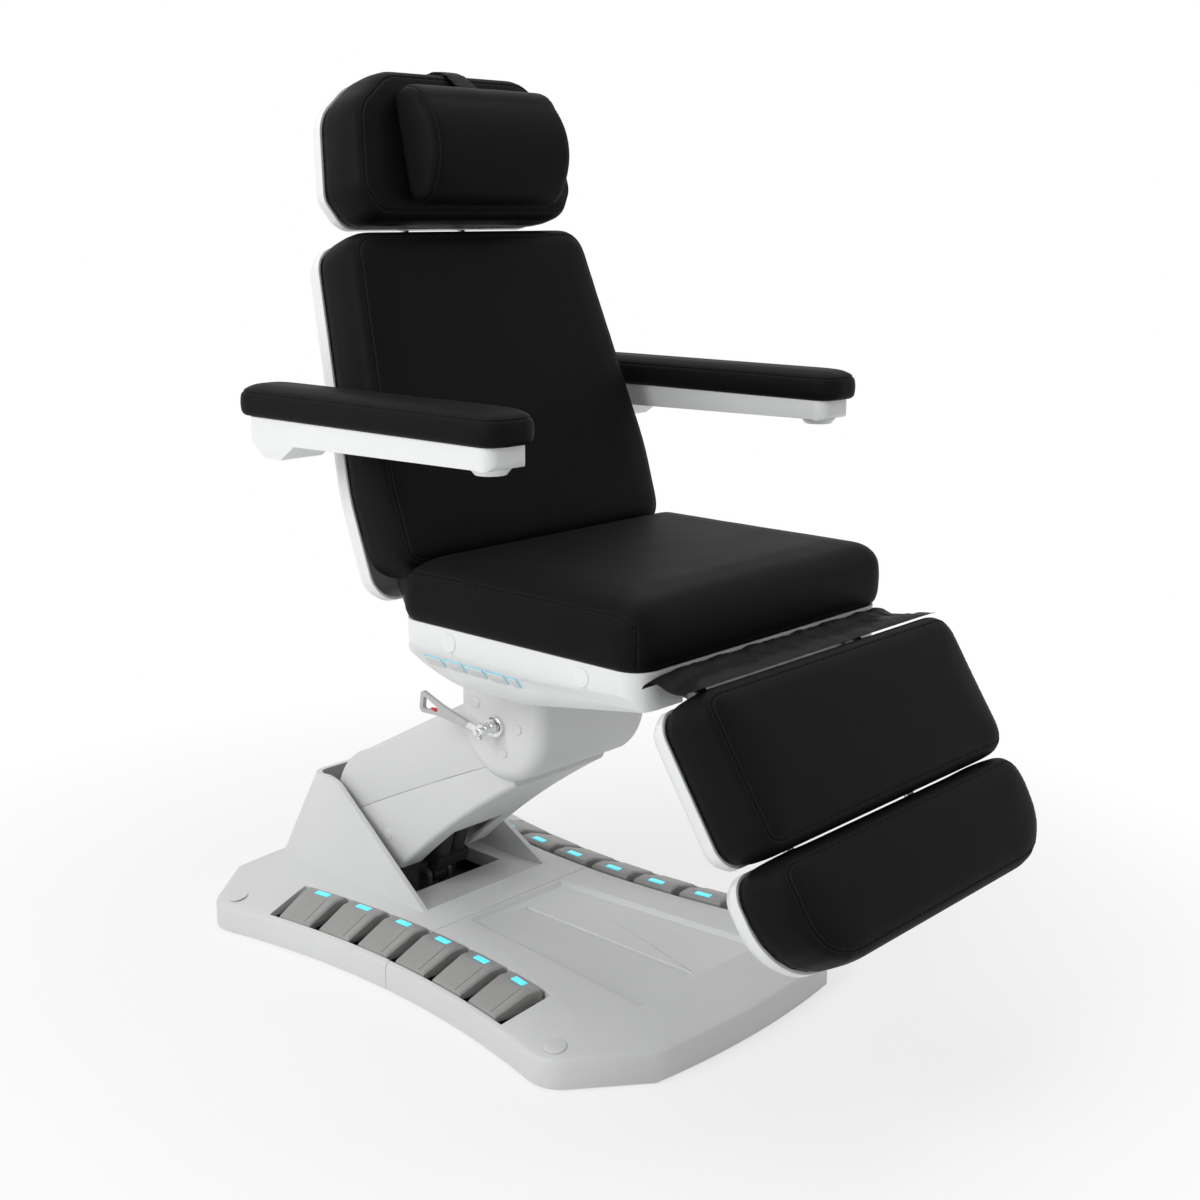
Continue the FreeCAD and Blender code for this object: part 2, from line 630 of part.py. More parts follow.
def pedal_solid():
    tip = PEDAL_X + PEDAL_LENGTH
    side = [(PEDAL_X, PEDAL_BOTTOM + 6), (PEDAL_X + 6, PEDAL_BOTTOM), (tip, PEDAL_BOTTOM),
            (tip, PEDAL_TIP_TOP - 4), (tip - 2, PEDAL_TIP_TOP),
            (PEDAL_X + PEDAL_FLAT, PEDAL_TOP), (PEDAL_X + 4, PEDAL_TOP), (PEDAL_X, PEDAL_TOP - 5)]
    wedge = prism(side, "y", -PEDAL_INNER_WIDTH, PEDAL_INNER_WIDTH)
    inner, outer = PEDAL_INNER_WIDTH / 2, PEDAL_TIP_WIDTH / 2
    plan = prism([(PEDAL_X, -inner), (tip, -outer), (tip, outer), (PEDAL_X, inner)],
                 "z", 0.0, PEDAL_TOP + 20)
    pedal = wedge.common(plan)
    rims = edges_at(pedal, lambda e: e.BoundBox.ZMin > PEDAL_TIP_TOP - 1 and e.BoundBox.XLength > 20)
    pedal = pedal.makeChamfer(3.0, rims)
    # A shallow line marks the tread off from the rim on the slope.
    tilt = degrees(atan2(PEDAL_TOP - PEDAL_TIP_TOP, PEDAL_LENGTH - 2 - PEDAL_FLAT))
    line = block(0, PEDAL_LENGTH - PEDAL_FLAT + 2, -0.7, 0.7, -1.0, 5.0)
    line.rotate(vec(0, 0, 0), vec(0, 1, 0), tilt)
    line.translate(vec(PEDAL_X + PEDAL_FLAT, 15 - outer, PEDAL_TOP))
    pedal = pedal.cut(line)
    middle = PEDAL_X + PEDAL_FLAT / 2 + 1
    pedal = pedal.cut(block(middle - LENS_WIDTH / 2, middle + LENS_WIDTH / 2, -LENS_LENGTH / 2,
                            LENS_LENGTH / 2, PEDAL_TOP - LENS_DEPTH, PEDAL_TOP + 1))
    bore = Part.makeCylinder(PEDAL_PIN_RADIUS + RUN_CLEARANCE, 200.0,
                             vec(PIN_X, -100.0, PEDAL_PIN_HEIGHT), vec(0, 1, 0))
    return pedal.cut(bore)


def pedal_tray():
    """Dark tray under one row, with an ear on each side of every pedal."""
    half = PEDAL_HALF_SPAN + 0.005
    tray = sector(POCKET_INNER + TRAY_GAP, POCKET_OUTER - TRAY_GAP, half,
                  TRAY_TOP - TRAY_FLOOR, TRAY_TOP)
    for angle in (-1.0, 0.0, 1.0):
        rib = block(PEDAL_X + 4, PEDAL_X + 44, -8.0, 8.0, PLATE_TOP, TRAY_TOP - TRAY_FLOOR)
        tray = tray.fuse(fan(rib, angle * PEDAL_PITCH_DEG * 2, False))
    ear_side = [(PIN_X - 8, TRAY_TOP - 1), (PIN_X + 10, TRAY_TOP - 1), (PIN_X + 7, PEDAL_PIN_HEIGHT + 5),
                (PIN_X - 7, PEDAL_PIN_HEIGHT + 5)]
    for index in range(PEDAL_COUNT + 1):
        angle = PEDAL_PITCH_DEG * (index - PEDAL_COUNT / 2)
        tray = tray.fuse(fan(prism(ear_side, "y", -4.0, 4.0), angle, False))
    # The pins are pressed from above into slots across the ears.
    slot = block(PIN_X - PEDAL_PIN_RADIUS, PIN_X + PEDAL_PIN_RADIUS, -PIN_LENGTH / 2, PIN_LENGTH / 2,
                 PEDAL_PIN_HEIGHT - PEDAL_PIN_RADIUS, PEDAL_PIN_HEIGHT + 40)
    for angle in PEDAL_ANGLES:
        tray = tray.cut(fan(slot, angle, False))
    return tray.removeSplitter()


PIN_LENGTH = 2 * (SIDE_CENTRE_X - PIN_X) * sin(radians(PEDAL_PITCH_DEG / 2)) - 1.2


def pedals():
    pedal = pedal_solid()
    tray = pedal_tray()
    save("pedal_trays", group(both_sides(tray)))
    pins = []
    pin = Part.makeCylinder(PEDAL_PIN_RADIUS, PIN_LENGTH, vec(PIN_X, -PIN_LENGTH / 2, PEDAL_PIN_HEIGHT),
                            vec(0, 1, 0))
    for near_side, side in ((False, "left"), (True, "right")):
        for index, angle in enumerate(PEDAL_ANGLES):
            save("pedal_%s_%d" % (side, index + 1), fan(pedal, angle, near_side))
            pins.append(fan(pin, angle, near_side))
    save("pedal_pins", group(pins))


# Lift arm

def arm_profile(inset):
    """Arm cover seen from the side: straight top, arched underside, open towards both pivots."""
    def moved(point, along, up):
        return (point[0] + inset * (along * ARM_RUN[0] - up * ARM_BELOW[0]),
                point[1] + inset * (along * ARM_RUN[1] - up * ARM_BELOW[1]))

    top_front = moved((UPPER_PIVOT[0] + 106, UPPER_PIVOT[1] + 11), 0, -1)
    top_back = moved((LOWER_PIVOT[0] - 38, LOWER_PIVOT[1] + 146), 0, -1)
    shoulder = (LOWER_PIVOT[0] + 12 - inset * 0.7, LOWER_PIVOT[1] + 112 - inset * 0.7)
    back_top = (LOWER_PIVOT[0] + 38 - inset, LOWER_PIVOT[1] + 69)
    back_low = (LOWER_PIVOT[0] + 52 - inset, LOWER_PIVOT[1] + 2)
    low_back = moved((LOWER_PIVOT[0] - 124, LOWER_PIVOT[1] - 57), 0, 1)
    low_mid = moved((LOWER_PIVOT[0] - 274, LOWER_PIVOT[1] + 69), 0, 1)
    low_front = moved((UPPER_PIVOT[0] - 14, UPPER_PIVOT[1] - 108), 0, 1)
    nose = (UPPER_PIVOT[0] - 14, UPPER_PIVOT[1] - 76)
    tip = (UPPER_PIVOT[0] - 30, UPPER_PIVOT[1])
    crown = (UPPER_PIVOT[0], UPPER_PIVOT[1] + 34)
    return [top_front, top_back, shoulder + back_top, back_low, low_back,
            low_mid + low_front, nose, tip, crown]


def arm_covers():
    outer = prism(arm_profile(0.0), "x", -ARM_COVER_HALF, ARM_COVER_HALF)
    long_edges = edges_at(outer, lambda e: abs(abs(e.BoundBox.XMin) - ARM_COVER_HALF) < 0.01
                          and e.BoundBox.XLength < 0.01 and e.BoundBox.YLength > 200
                          and e.BoundBox.ZLength > 100)
    outer = outer.makeFillet(9.0, long_edges)
    inner_half = ARM_COVER_HALF - ARM_COVER_WALL
    inner = prism(arm_profile(ARM_COVER_WALL), "x", -inner_half, inner_half)
    shell = outer.cut(inner)
    # Both ends of the cover are open inside the tower and the yoke.
    low_end = prism([(LOWER_PIVOT[0] - 121, LOWER_PIVOT[1] - 90), (LOWER_PIVOT[0] + 90, LOWER_PIVOT[1] - 90),
                     (LOWER_PIVOT[0] + 90, LOWER_PIVOT[1] + 24), (LOWER_PIVOT[0] + 44, LOWER_PIVOT[1] + 24),
                     (LOWER_PIVOT[0] - 121, LOWER_PIVOT[1] - 40)], "x", -inner_half, inner_half)
    high_end = prism([(UPPER_PIVOT[0] + 100, UPPER_PIVOT[1] + 60), (UPPER_PIVOT[0] + 100, UPPER_PIVOT[1] - 60),
                      (UPPER_PIVOT[0] + 20, UPPER_PIVOT[1] - 100), (UPPER_PIVOT[0] - 60, UPPER_PIVOT[1] - 90),
                      (UPPER_PIVOT[0] - 60, UPPER_PIVOT[1] + 60)], "x", -inner_half, inner_half)
    slot = block(-BEAM_PLATE_X + 2, BEAM_PLATE_X - 2, LOWER_PIVOT[0] - 215, LOWER_PIVOT[0],
                 LOWER_PIVOT[1] - 90, LOWER_PIVOT[1] + 40)
    shell = shell.cut(low_end).cut(high_end).cut(slot)
    seam_back = (LOWER_PIVOT[0] + 90, LOWER_PIVOT[1] - 24)
    seam_mid = (LOWER_PIVOT[0] - 196, LOWER_PIVOT[1] + 117)
    seam_front = (UPPER_PIVOT[0] - 60, UPPER_PIVOT[1] - 40)
    below = prism([seam_back, seam_mid + seam_front, (UPPER_PIVOT[0] - 60, 0), (LOWER_PIVOT[0] + 90, 0)],
                  "x", -200, 200)
    gap = below.copy()
    gap.translate(vec(0, 0, ARM_COVER_SPLIT))
    save("arm_cover_upper", shell.cut(gap).removeSplitter())
    save("arm_cover_lower", shell.common(below).removeSplitter())


def lift_beam():
    beam = None
    for x0 in (BEAM_PLATE_X, -BEAM_PLATE_X - BEAM_PLATE):
        plate = stadium(LOWER_PIVOT, UPPER_PIVOT, BEAM_WIDTH / 2, x0, x0 + BEAM_PLATE)
        beam = plate if beam is None else beam.fuse(plate)
    for share in (0.62, 0.82):
        y = LOWER_PIVOT[0] + share * ARM_LENGTH * ARM_RUN[0]
        z = LOWER_PIVOT[1] + share * ARM_LENGTH * ARM_RUN[1]
        beam = beam.fuse(rod_x(y, z, 22.0, -BEAM_PLATE_X, BEAM_PLATE_X))
    for pivot in (LOWER_PIVOT, UPPER_PIVOT):
        beam = beam.cut(rod_x(pivot[0], pivot[1], PIN_RADIUS + RUN_CLEARANCE, -150, 150))
    # The covers are screwed to two cross bars that reach out to their walls.
    for share, rise in ((0.40, 27.0), (0.72, 27.0)):
        y = LOWER_PIVOT[0] + share * ARM_LENGTH * ARM_RUN[0] - rise * ARM_BELOW[0]
        z = LOWER_PIVOT[1] + share * ARM_LENGTH * ARM_RUN[1] - rise * ARM_BELOW[1]
        reach = ARM_COVER_HALF - ARM_COVER_WALL
        for x0, x1 in ((BEAM_PLATE_X, reach), (-reach, -BEAM_PLATE_X)):
            beam = beam.fuse(block(x0, x1, y - 5, y + 5, z - 5, z + 5))
    for x0, x1 in ((BEAM_PLATE_X, ARM_COVER_HALF - ARM_COVER_WALL),
                   (ARM_COVER_WALL - ARM_COVER_HALF, -BEAM_PLATE_X)):
        y = LOWER_PIVOT[0] + 0.45 * ARM_LENGTH * ARM_RUN[0] + 80.0 * ARM_BELOW[0]
        z = LOWER_PIVOT[1] + 0.45 * ARM_LENGTH * ARM_RUN[1] + 80.0 * ARM_BELOW[1]
        arm_y = LOWER_PIVOT[0] + 0.45 * ARM_LENGTH * ARM_RUN[0]
        arm_z = LOWER_PIVOT[1] + 0.45 * ARM_LENGTH * ARM_RUN[1]
        side = BEAM_PLATE_X if x0 > 0 else -BEAM_PLATE_X - BEAM_PLATE
        beam = beam.fuse(stadium((arm_y, arm_z), (y, z), 9.0, side, side + BEAM_PLATE))
        beam = beam.fuse(block(x0, x1, y - 5, y + 5, z - 5, z + 5))
    beam = beam.fuse(rod_x(ACTUATOR_HEAD[0], ACTUATOR_HEAD[1], EYE_PIN_RADIUS, -BEAM_PLATE_X, BEAM_PLATE_X))
    save("lift_beam", beam.removeSplitter())


def level_link():
    bars = []
    for x0 in (LINK_PLATE_X, -LINK_PLATE_X - LINK_PLATE):
        bar = stadium(LOWER_LINK, UPPER_LINK, LINK_WIDTH / 2, x0, x0 + LINK_PLATE)
        for end in (LOWER_LINK, UPPER_LINK):
            bar = bar.cut(rod_x(end[0], end[1], LINK_PIN_RADIUS + RUN_CLEARANCE, -150, 150))
        bars.append(bar)
    save("level_link", group(bars))


def lift_actuator():
    """Tube with its motor alongside, and the rod that pushes the beam."""
    length = hypot(ACTUATOR_HEAD[0] - ACTUATOR_FOOT[0], ACTUATOR_HEAD[1] - ACTUATOR_FOOT[1])
    tilt = degrees(atan2(-(ACTUATOR_HEAD[0] - ACTUATOR_FOOT[0]), ACTUATOR_HEAD[1] - ACTUATOR_FOOT[1]))
    tube = Part.makeCylinder(ACTUATOR_TUBE_RADIUS, ACTUATOR_TUBE_LENGTH - 14, vec(0, 0, 14))
    foot = rod_x(0, 0, 15.0, -14.0, 14.0)
    neck = block(-14, 14, -10, 10, 0, 20)
    gearbox = block(-20, 54, -20, 20, 24, 48)
    motor = Part.makeCylinder(MOTOR_RADIUS, 80.0, vec(37.0, 0, 48))
    body = tube.fuse(foot).fuse(neck).fuse(gearbox).fuse(motor)
    body = body.cut(rod_x(0, 0, EYE_PIN_RADIUS + RUN_CLEARANCE, -60, 60))
    bore = Part.makeCylinder(ACTUATOR_ROD_RADIUS + RUN_CLEARANCE, length, vec(0, 0, 60))
    body = body.cut(bore)
    stem = Part.makeCylinder(ACTUATOR_ROD_RADIUS, length - 100.0, vec(0, 0, 100))
    eye = rod_x(0, length, EYE_PIN_RADIUS + EYE_SLACK + 6.0, -12.0, 12.0)
    rod = stem.fuse(eye).cut(rod_x(0, length, EYE_PIN_RADIUS + EYE_SLACK, -60, 60))
    for name, shape in (("lift_actuator", body), ("lift_rod", rod)):
        shape = shape.removeSplitter()
        shape.rotate(vec(0, 0, 0), vec(1, 0, 0), tilt)
        shape.translate(vec(0, ACTUATOR_FOOT[0], ACTUATOR_FOOT[1]))
        save(name, shape)


# Yoke

def yoke():
    cy, cz = UPPER_PIVOT
    r = YOKE_RADIUS
    cheek_outline = [(cy + r - 2, YOKE_TOP), (cy + r, cz), (cy + r * 0.7071, cz - r * 0.7071, cy, cz - r),
                     (cy - r * 0.7071, cz - r * 0.7071, cy - r, cz), (cy - r, YOKE_TOP)]
    solid = prism(cheek_outline, "x", -YOKE_HALF, YOKE_HALF)
    front_edges = edges_at(solid, lambda e: is_upright(e) and e.BoundBox.YMax < cy)
    front_edges += edges_at(solid, lambda e: abs(abs(e.BoundBox.XMin) - YOKE_HALF) < 0.01
                            and e.BoundBox.XLength < 0.01 and e.BoundBox.ZMax < cz + 0.1)
    solid = solid.makeFillet(YOKE_ROUND, front_edges)
    half = YOKE_HALF - YOKE_CHEEK
    inner = r - YOKE_WALL
    end = radians(235.0)
    open_end = (cy + inner * cos(end), cz + inner * sin(end))
    open_mid = (cy + inner * cos(radians(208.0)), cz + inner * sin(radians(208.0)))
    cavity = prism([(cy - inner, YOKE_TOP - YOKE_ROOF), (cy - inner, cz), open_mid + open_end,
                    (open_end[0] - 30, open_end[1] - 60), (cy + r + 60, cz - r - 60),
                    (cy + r + 60, YOKE_TOP - YOKE_ROOF)], "x", -half, half)
    solid = solid.cut(cavity)
    roof = YOKE_TOP - YOKE_ROOF
    for x0 in (LUG_X, -LUG_X - LUG_PLATE):
        lug = stadium((cy, cz), (cy, roof), 34.0, x0, x0 + LUG_PLATE)
        lug = lug.fuse(stadium(UPPER_LINK, (UPPER_LINK[0] + 12, roof), 18.0, x0, x0 + LUG_PLATE))
        solid = solid.fuse(lug.cut(block(-200, 200, -400, 200, roof + 5, roof + 200)))
    solid = solid.cut(rod_x(cy, cz, PIN_RADIUS, -LUG_X - LUG_PLATE, LUG_X + LUG_PLATE))
    solid = solid.cut(rod_x(UPPER_LINK[0], UPPER_LINK[1], LINK_PIN_RADIUS, -LUG_X - LUG_PLATE,
                            LUG_X + LUG_PLATE))
    solid = solid.cut(rod_x(cy, cz, SOCKET_RADIUS, -YOKE_HALF - 1, -YOKE_HALF + 12))
    save("yoke_housing", solid.removeSplitter())
    reach = LUG_X + LUG_PLATE
    pins = [rod_x(cy, cz, PIN_RADIUS, -reach, reach)]
    pins += both_sides(rod_x(UPPER_LINK[0], UPPER_LINK[1], LINK_PIN_RADIUS, LINK_PLATE_X - 1, reach))
    save("yoke_pins", group(pins))
    ring = Part.makeCylinder(RING_RADIUS, RING_HEIGHT, vec(0, SWIVEL_Y, YOKE_TOP))
    ring = ring.cut(Part.makeCylinder(HUB_RADIUS - 20, RING_HEIGHT, vec(0, SWIVEL_Y, YOKE_TOP)))
    save("swivel_ring", ring)
    socket = rod_x(cy, cz, SOCKET_RADIUS - 0.02, -YOKE_HALF - SOCKET_REACH, -YOKE_HALF + 12)
    socket = socket.cut(rod_x(cy, cz, 8.0 + RUN_CLEARANCE, -YOKE_HALF - 20, -YOKE_HALF + 8))
    save("lock_socket", socket)


def lock_lever():
    """Shaft and pinned joint on the socket's axis, and the flat loop handle."""
    cy, cz = UPPER_PIVOT
    face = -YOKE_HALF
    middle = face - LEVER_REACH
    shaft = rod_x(cy, cz, 8.0, middle + 6, face + 8)
    collar = rod_x(cy, cz, 11.0, face - SOCKET_REACH - 12, face - SOCKET_REACH - 4)
    cross = block(middle - 7, middle + 8, cy - 8, cy + 8, cz - 8, cz + 8)
    cross = cross.makeChamfer(3.0, cross.Edges)
    pin = Part.makeCylinder(4.5, 26.0, vec(middle, cy, cz - 13))
    bolt = rod_x(cy, cz, 5.0, middle - 11, middle)
    stub = Part.makeCylinder(6.0, 26.0, vec(middle, cy, cz), vec(0, 1, 0))
    knuckle = cross.fuse(pin).fuse(stub)
    knuckle.rotate(vec(middle, cy, cz), vec(1, 0, 0), LEVER_RISE_DEG)
    knuckle = knuckle.fuse(shaft).fuse(collar).fuse(bolt)
    save("lever_knuckle", knuckle.removeSplitter())
    x0 = face - LEVER_REACH - LEVER_THICKNESS / 2
    start, end = 26.0, LEVER_LENGTH
    outline = [(start, -6), (end - 44, -9), (end - 4, -17), (end, -15, end + 3, -11), (end + 3, 15),
               (end, 19, end - 5, 19), (end - 50, 11), (start, 6)]
    handle = prism(outline, "x", x0, x0 + LEVER_THICKNESS)
    loop = prism([(end - 38, -4), (end - 10, -9), (end - 6, -8, end - 5, -4), (end - 5, 8),
                  (end - 7, 11, end - 11, 11), (end - 36, 5), (end - 40, 1, end - 38, -4)],
                 "x", x0 - 1, x0 + LEVER_THICKNESS + 1)
    handle = handle.cut(loop)
    handle.rotate(vec(0, 0, 0), vec(1, 0, 0), LEVER_RISE_DEG)
    handle.translate(vec(0, cy, cz))
    save("lever_handle", handle)


# Seat

def tray_solid(inset):
    """Seat tray: upright band above a bevelled bowl whose underside sweeps up at both ends."""
    low = TRAY_BOTTOM + inset
    slant = inset * 0.5
    side = prism([(TRAY_FRONT + inset, SEAT_BOTTOM + 40), (TRAY_FRONT + inset, TRAY_BOTTOM + 56 + slant),
                  (SWIVEL_Y - 162, low), (SWIVEL_Y - 70, low),
                  (SWIVEL_Y + 8, TRAY_BOTTOM + 17 + inset, TRAY_REAR - inset, TRAY_BOTTOM + 70 + slant),
                  (TRAY_REAR - inset, SEAT_BOTTOM + 40)], "x", -400, 400)
    half, foot = TRAY_HALF - inset, TRAY_BOTTOM_HALF - slant
    front = prism([(-half, SEAT_BOTTOM + 40), (-half, TRAY_CREASE + slant), (-foot, TRAY_BOTTOM),
                   (foot, TRAY_BOTTOM), (half, TRAY_CREASE + slant), (half, SEAT_BOTTOM + 40)],
                  "y", TRAY_FRONT - 150, TRAY_REAR + 150)
    corners = [(-half, TRAY_FRONT + inset), (half, TRAY_FRONT + inset), (half, TRAY_REAR - inset),
               (-half, TRAY_REAR - inset)]
    plan = Part.Face(rounded_wire(corners, [SEAT_CORNER - inset] * 4, TRAY_BOTTOM - 50))
    return side.common(front).common(plan.extrude(vec(0, 0, 300)))


BEVEL_RISE = TRAY_CREASE - TRAY_BOTTOM
BEVEL_RUN = TRAY_HALF - TRAY_BOTTOM_HALF
BEVEL_TILT = degrees(atan2(BEVEL_RUN, BEVEL_RISE))


def button_block(index, gap, proud, depth):
    """Block square to the near bevel, at one button's place."""
    length = BUTTON_LAST_LENGTH if index == BUTTON_COUNT - 1 else BUTTON_LENGTH
    shift = (BUTTON_LENGTH - length) / 2
    middle = BUTTON_FIRST_Y - index * BUTTON_PITCH + shift
    piece = block(-proud, depth, -length / 2 - gap, length / 2 + gap,
                  -BUTTON_WIDTH / 2 - gap, BUTTON_WIDTH / 2 + gap)
    piece.rotate(vec(0, 0, 0), vec(0, 1, 0), -BEVEL_TILT)
    share = BUTTON_DROP / hypot(BEVEL_RISE, BEVEL_RUN)
    piece.translate(vec(-TRAY_HALF + share * BEVEL_RUN, middle, TRAY_CREASE - share * BEVEL_RISE))
    return piece


def seat_tray():
    tray = tray_solid(0.0).cut(tray_solid(TRAY_WALL))
    # The rim stops just under the cushion.
    tray = tray.cut(block(-500, 500, TRAY_FRONT - 50, TRAY_REAR + 50, SEAT_BOTTOM - 0.4, SEAT_BOTTOM + 90))
    tray = tray.cut(Part.makeCylinder(HUB_HOLE, 120, vec(0, SWIVEL_Y, TRAY_BOTTOM - 20)))
    # Slots let the leg hinge ears through the front wall.
    for x0 in (LEG_EAR_X - EAR_PLATE - EAR_GAP - 3, -LEG_EAR_X - EAR_PLATE - 3):
        tray = tray.cut(block(x0, x0 + 2 * EAR_PLATE + EAR_GAP + 6, TRAY_FRONT - 10, TRAY_FRONT + 40,
                              TRAY_BOTTOM + 40, SEAT_BOTTOM - 14))
    # Notches let the back hinge ears through the rear wall.
    notch = block(BACK_EAR_X - EAR_GAP - EAR_PLATE - 3, BACK_EAR_X - EAR_GAP + 3, TRAY_REAR - 40, TRAY_REAR + 10,
                  SEAT_PLATE_Z - 12, SEAT_BOTTOM + 10)
    for piece in both_sides(notch):
        tray = tray.cut(piece)
    for index in range(BUTTON_COUNT):
        tray = tray.cut(button_block(index, BUTTON_GAP, 20.0, 30.0))
    save("seat_tray", tray.removeSplitter())


def buttons():
    for index in range(BUTTON_COUNT):
        cap = button_block(index, 0.0, BUTTON_PROUD, BUTTON_DEPTH)
        outer = edges_at(cap, lambda e: abs(e.Length - BUTTON_DEPTH - BUTTON_PROUD) < 0.01)
        save("seat_button_%d" % (index + 1), cap.makeFillet(4.0, outer))


LEG_PIVOT = on_slope(LEG_LEAN, LEG_Y, LEG_Z, LEG_PIVOT_S, LEG_PIVOT_DEPTH)
BACK_PIVOT = on_slope(BACK_LEAN, BACK_Y, BACK_Z, BACK_PIVOT_S, BACK_PIVOT_DEPTH)


def seat_frame():
    top = SEAT_PLATE_Z + SEAT_PLATE
    frame = block(-262, 262, TRAY_FRONT + 12, TRAY_REAR - 20, SEAT_PLATE_Z, top)
    ring_top = YOKE_TOP + RING_HEIGHT + RING_GAP
    frame = frame.fuse(Part.makeCylinder(RING_RADIUS - 2, 10.0, vec(0, SWIVEL_Y, ring_top)))
    frame = frame.fuse(Part.makeCylinder(HUB_RADIUS, SEAT_PLATE_Z - ring_top, vec(0, SWIVEL_Y, ring_top)))
    spigot = HUB_RADIUS - 20 - RUN_CLEARANCE
    frame = frame.fuse(Part.makeCylinder(spigot, RING_HEIGHT, vec(0, SWIVEL_Y, ring_top - RING_HEIGHT)))
    for side in (1, -1):
        inner = LEG_EAR_X - EAR_GAP - EAR_PLATE
        x0 = inner if side > 0 else -inner - EAR_PLATE
        frame = frame.fuse(stadium(LEG_PIVOT, (TRAY_FRONT + 30, SEAT_PLATE_Z), EAR_RADIUS, x0, x0 + EAR_PLATE))
        inner = BACK_EAR_X - EAR_GAP - EAR_PLATE
        x0 = inner if side > 0 else -inner - EAR_PLATE
        frame = frame.fuse(stadium(BACK_PIVOT, (TRAY_REAR - 30, SEAT_PLATE_Z), EAR_RADIUS, x0, x0 + EAR_PLATE))
    # Rails carry the cushion's board and stand on the plate.
    for x0 in (-240.0, 216.0):
        frame = frame.fuse(block(x0, x0 + 24.0, SEAT_FRONT + 60, SEAT_BACK - 62, top, SEAT_BOTTOM - 0.3))
    # Blocks tie the tray's band to the plate.
    for x0, x1 in ((-TRAY_HALF + TRAY_WALL, -262.0), (262.0, TRAY_HALF - TRAY_WALL)):
        for y in (TRAY_FRONT + 108, TRAY_REAR - 136):
            frame = frame.fuse(block(x0, x1, y - 20, y + 20, top - 2, top + 14))
    frame = frame.cut(rod_x(LEG_PIVOT[0], LEG_PIVOT[1], HINGE_PIN_RADIUS, -400, 400))
    frame = frame.cut(rod_x(BACK_PIVOT[0], BACK_PIVOT[1], HINGE_PIN_RADIUS, -400, 400))
    save("seat_frame", frame.removeSplitter())
    pins = []
    for pivot, outer in ((LEG_PIVOT, LEG_EAR_X), (BACK_PIVOT, BACK_EAR_X)):
        pins += both_sides(rod_x(pivot[0], pivot[1], HINGE_PIN_RADIUS, outer - EAR_GAP - EAR_PLATE,
                                 outer + EAR_PLATE + 1))
    save("seat_hinge_pins", group(pins))


def tray_motors():
    """Two gear motors under the seat plate, one beside each hinge it drives."""
    motors = []
    for y, x0, x1 in ((SWIVEL_Y - 231, -120.0, 120.0), (SWIVEL_Y - 141, -150.0, 90.0)):
        z = SEAT_PLATE_Z - 28.0
        barrel = rod_x(y, z, 22.0, x0, x1)
        gearbox = block(x1 - 60, x1, y - 30, y + 30, z - 18, SEAT_PLATE_Z)
        strap = block(x0 + 20, x0 + 50, y - 24, y + 24, z, SEAT_PLATE_Z)
        motors.append(barrel.fuse(gearbox).fuse(strap).removeSplitter())
    save("tray_motors", group(motors))


def seat_cushion():
    half = SEAT_WIDTH / 2
    corners = [(-half, SEAT_FRONT), (half, SEAT_FRONT), (half, SEAT_BACK), (-half, SEAT_BACK)]
    shape = cushion(corners, [SEAT_CORNER] * 4, SEAT_DEPTH, SEAT_CROWN)
    shape.translate(vec(0, 0, SEAT_SEAM))
    # The rear edge is rolled off in front of the backrest.
    top = SEAT_SEAM + SEAT_CROWN
    roll = prism([(SEAT_BACK + 20, SEAT_SEAM - 63), (SEAT_BACK - 1, SEAT_SEAM - 63),
                  (SEAT_BACK - 24.5, SEAT_SEAM - 5, SEAT_BACK - 78, top - 1), (SEAT_BACK - 78, top + 20),
                  (SEAT_BACK + 20, top + 20)], "x", -half - 20, half + 20)
    save("seat_cushion", shape.cut(roll))


# Pads that lean

def shell_pan(corners, radii, depth, thickness):
    """Moulded pan behind a cushion: a rim, a rounded back and a hollow front."""
    front = -depth - SHELL_GAP
    back = front - thickness
    outer = pad(corners, radii, [(front, 3.0), (front - 0.45 * thickness, 3.0), (back + 4.0, 10.0),
                                 (back, 26.0)])
    inside = 3.0 + SHELL_WALL
    inner = pad(corners, radii, [(front + 0.5, inside), (front - 0.42 * thickness, inside),
                                 (back + SHELL_WALL, 24.0 + SHELL_WALL)], CUSHION_STEPS)
    return outer.cut(inner)


def back_corners(low):
    return [(-BACK_LOW_HALF, low), (BACK_LOW_HALF, low), (BACK_MID_HALF, BACK_MID),
            (BACK_TOP_HALF, BACK_TOP), (-BACK_TOP_HALF, BACK_TOP), (-BACK_MID_HALF, BACK_MID)]


BACK_RADII = [BACK_CORNER, BACK_CORNER, 400.0, BACK_CORNER, BACK_CORNER, 400.0]


def head_posts(radius, low):
    """Two cranked posts: parallel to the backrest inside it, then forward into the headrest."""
    stops = [on_slope(BACK_LEAN, BACK_Y, BACK_Z, low, POST_DEPTH),
             on_slope(BACK_LEAN, BACK_Y, BACK_Z, BACK_TOP + 8, POST_DEPTH),
             on_slope(HEAD_LEAN, HEAD_Y, HEAD_Z, HEAD_LOW + 8, HEAD_POST_DEPTH),
             on_slope(HEAD_LEAN, HEAD_Y, HEAD_Z, POST_HIGH, HEAD_POST_DEPTH)]
    posts = []
    for x in (-POST_X, POST_X):
        points = [vec(x, y, z) for y, z in stops]
        post = None
        for start, end in zip(points, points[1:]):
            run = end - start
            piece = Part.makeCylinder(radius, run.Length, start, run)
            post = piece if post is None else post.fuse(piece)
        for point in points[1:3]:
            post = post.fuse(Part.makeSphere(radius, point))
        posts.append(post.removeSplitter())
    return posts


